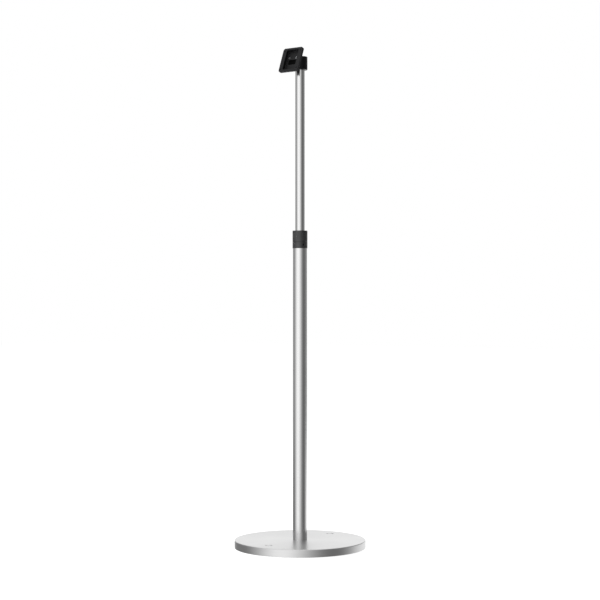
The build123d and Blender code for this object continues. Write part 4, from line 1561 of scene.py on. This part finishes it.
@dataclass
class Studio:
    """A white sweep under soft light, and the camera at the photograph's angle.

    The glows are what polished metal sees round the stand: by angle from the camera's direction, positive to
    the right, the brightness of soft boxes and of the dark flags between them. The high glow stands round the
    pole, and the low one is what comes up from the floor's side. The bands are the heights of a direction,
    from -1 straight down to 1 straight up, over which one glow eases into the next.
    """

    camera_azimuth: float = 38.0
    camera_distance: float = 4.175
    camera_height: float = 0.6616
    lens: float = 93.6
    floor_size: float = 30.0
    floor_gap: float = 0.1 * MM
    floor_glow: float = 0.86
    floor_seen: str = "#A3A3A3"
    floor_unseen: str = "#E6E6E6"
    ambient: float = 0.42
    brightest: float = 2.0
    aim_height: float = 0.7
    low_band: tuple[float, float] = (-0.07, -0.13)
    overhead_band: tuple[float, float] = (0.5, 0.9)
    high_glow: tuple[tuple[float, float], ...] = (
        (-180, 1.22), (-165, 1.05), (-148, 0.4), (-105, 0.4), (-82, 0.68), (-60, 1.2), (-42, 1.5),
        (-18, 1.52), (-6, 1.3), (8, 1.0), (23, 0.64), (40, 0.32), (58, 0.2), (80, 0.2), (98, 0.3),
        (118, 0.36), (140, 0.42), (158, 0.9), (168, 1.28), (180, 1.22),
    )
    low_glow: tuple[tuple[float, float], ...] = (
        (-180, 1.17), (-165, 0.82), (-150, 0.24), (-105, 0.2), (-82, 0.54), (-60, 1.04), (-40, 1.36),
        (-22, 1.31), (-8, 1.01), (8, 0.73), (23, 0.42), (40, 0.24), (58, 0.18), (76, 0.24), (96, 0.6),
        (112, 1.1), (130, 1.42), (180, 1.17),
    )
    soft_boxes: tuple[SoftBox, ...] = (
        SoftBox("key_soft_box", azimuth=-100.0, distance=2.6, height=0.8, size=0.7, power=120.0),
        SoftBox("fill_soft_box", azimuth=70.0, distance=3.0, height=1.8, size=1.8, power=16.0),
        SoftBox("back_soft_box", azimuth=165.0, distance=2.6, height=2.4, size=1.4, power=22.0),
    )

    def around(self, azimuth: float, distance: float, height: float) -> Triple:
        """The point at an angle from the camera's direction, a distance from the pole and a height."""
        turn = radians(self.camera_azimuth + azimuth)
        return (distance * sin(turn), -distance * cos(turn), height)

    def camera(self) -> None:
        """Stands the camera at its azimuth, level and facing the pole."""
        camera = bpy.data.objects.new("camera", bpy.data.cameras.new("camera"))
        camera.data.lens = self.lens
        camera.data.sensor_width = 36.0
        camera.data.clip_end = 100.0
        camera.location = self.around(0.0, self.camera_distance, self.camera_height)
        camera.rotation_euler = (pi / 2, 0.0, radians(self.camera_azimuth))
        bpy.context.scene.collection.objects.link(camera)
        bpy.context.scene.camera = camera

    def floor(self) -> None:
        """Lays the floor, white to the camera with the stand's faint shadow on it."""
        half, level = self.floor_size / 2, -self.floor_gap
        corners = [(-half, -half, level), (half, -half, level), (half, half, level), (-half, half, level)]
        mesh = bpy.data.meshes.new("studio_floor")
        mesh.from_pydata(corners, [], [(0, 1, 2, 3)])
        mesh.materials.append(self.sweep())
        floor = bpy.data.objects.new("studio_floor", mesh)
        bpy.context.scene.collection.objects.link(floor)
        floor.visible_glossy = False

    def sweep(self) -> bpy.types.Material:
        """Makes the floor's material, which glows by itself only where it is seen.

        Returns:
            The material.
        """
        material = bpy.data.materials.new("white_sweep")
        tree = blank_tree(material)
        straight, gloss = ray_kinds(tree)
        seen = add_node(tree, "Math", {0: straight, 1: gloss}, operation="MAXIMUM").outputs[0]
        tint = {0: seen, 6: linear(self.floor_unseen), 7: linear(self.floor_seen)}
        colour = add_node(tree, "Mix", tint, data_type="RGBA").outputs[2]
        lit = add_node(tree, "BsdfDiffuse", {"Color": colour}).outputs[0]
        strength = add_node(tree, "Math", {0: seen, 1: self.floor_glow}, operation="MULTIPLY").outputs[0]
        glow = add_node(tree, "Emission", {"Strength": strength}).outputs[0]
        both = add_node(tree, "AddShader", {0: lit, 1: glow}).outputs[0]
        add_node(tree, "OutputMaterial", {"Surface": both})
        return material

    def sky(self) -> None:
        """Makes the world: white to the camera, the glow in gloss, and even light for all else.

        The share of the turn is the arctangent of the direction's X over its -Y, less the camera's azimuth,
        wrapped to a full turn and brought to 0 to 1.
        """
        world = bpy.data.worlds.new("studio_world")
        bpy.context.scene.world = world
        tree = blank_tree(world)
        straight, gloss = ray_kinds(tree)
        way = add_node(tree, "TexCoord").outputs["Generated"]
        part = add_node(tree, "SeparateXYZ", {0: way}).outputs
        front = add_node(tree, "Math", {0: part["Y"], 1: -1.0}, operation="MULTIPLY").outputs[0]
        angle = add_node(tree, "Math", {0: part["X"], 1: front}, operation="ARCTAN2").outputs[0]
        turn = radians(self.camera_azimuth)
        turned_back = add_node(tree, "Math", {0: angle, 1: turn}, operation="SUBTRACT").outputs[0]
        wrapped = add_node(tree, "Math", {0: turned_back, 1: pi, 2: -pi}, operation="WRAP").outputs[0]
        share = add_node(tree, "MapRange", {"Value": wrapped, 1: -pi, 2: pi, 3: 0.0, 4: 1.0}).outputs[0]
        high, low = (self.glow_round(tree, share, stops) for stops in (self.high_glow, self.low_glow))
        spans = ({"Value": part["Z"], 1: start, 2: end} for start, end in (self.low_band, self.overhead_band))
        lowered, overhead = (
            add_node(tree, "MapRange", {**span, 3: 0.0, 4: 1.0}, interpolation_type="SMOOTHSTEP").outputs[0]
            for span in spans
        )
        round_stand = add_node(tree, "Mix", {0: lowered, 2: high, 3: low}, data_type="FLOAT").outputs[0]
        glow = add_node(tree, "Mix", {0: overhead, 2: round_stand, 3: 1.0}, data_type="FLOAT").outputs[0]
        beyond = add_node(tree, "Mix", {0: gloss, 2: self.ambient, 3: glow}, data_type="FLOAT").outputs[0]
        level = add_node(tree, "Mix", {0: straight, 2: beyond, 3: 1.0}, data_type="FLOAT").outputs[0]
        shader = add_node(tree, "Background", {"Color": (1.0, 1.0, 1.0, 1.0), "Strength": level}).outputs[0]
        add_node(tree, "OutputWorld", {"Surface": shader})

    def glow_round(self, tree: Tree, share: Socket, levels: Sequence[tuple[float, float]]) -> Socket:
        """Makes a glow's strength, by a colour ramp that is eased between its levels.

        Args:
            tree: the world's node tree.
            share: the share of the turn, from 0 to 1.
            levels: each level's angle in degrees and its brightness.

        Returns:
            The strength.
        """
        ramp = add_node(tree, "ValToRGB", {0: share})
        ramp.color_ramp.interpolation = "EASE"
        stops = ramp.color_ramp.elements
        stops.remove(stops[1])
        for degrees, level in levels:
            position = (degrees + 180) / 360
            stop = stops.new(position) if position else stops[0]
            stop.color = (*[level / self.brightest] * 3, 1.0)
        strength = {0: ramp.outputs["Color"], 1: self.brightest}
        return add_node(tree, "Math", strength, operation="MULTIPLY").outputs[0]

    def lamp(self, box: SoftBox) -> None:
        """Hangs a soft box.

        Args:
            box: its place, size and power.
        """
        light = bpy.data.lights.new(box.name, "AREA")
        light.shape = "SQUARE"
        light.size = box.size
        light.energy = box.power
        lamp = bpy.data.objects.new(box.name, light)
        lamp.location = self.around(box.azimuth, box.distance, box.height)
        aim = -lamp.location.copy()
        aim.z += self.aim_height
        lamp.rotation_euler = aim.to_track_quat("-Z", "Y").to_euler()
        lamp.visible_glossy = False
        bpy.context.scene.collection.objects.link(lamp)

    def build(self) -> None:
        """Sets up the camera, the floor, the world and the lamps."""
        bpy.context.scene.view_settings.view_transform = "Standard"
        self.camera()
        self.floor()
        self.sky()
        for box in self.soft_boxes:
            self.lamp(box)


def main() -> None:
    """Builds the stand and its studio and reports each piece."""
    logging.basicConfig(level=logging.INFO, format="%(name)s: %(message)s")
    for assembly in (RoundBase(), Pole(), CollarLock(), TurningHead(), TerminalTray()):
        for piece in assembly.pieces():
            triangles = sum(len(face.vertices) - 2 for face in piece.data.polygons)
            log.info("%s: %s, %d triangles", type(assembly).__name__, piece.name, triangles)
    Studio().build()


if __name__ == "__main__":
    main()
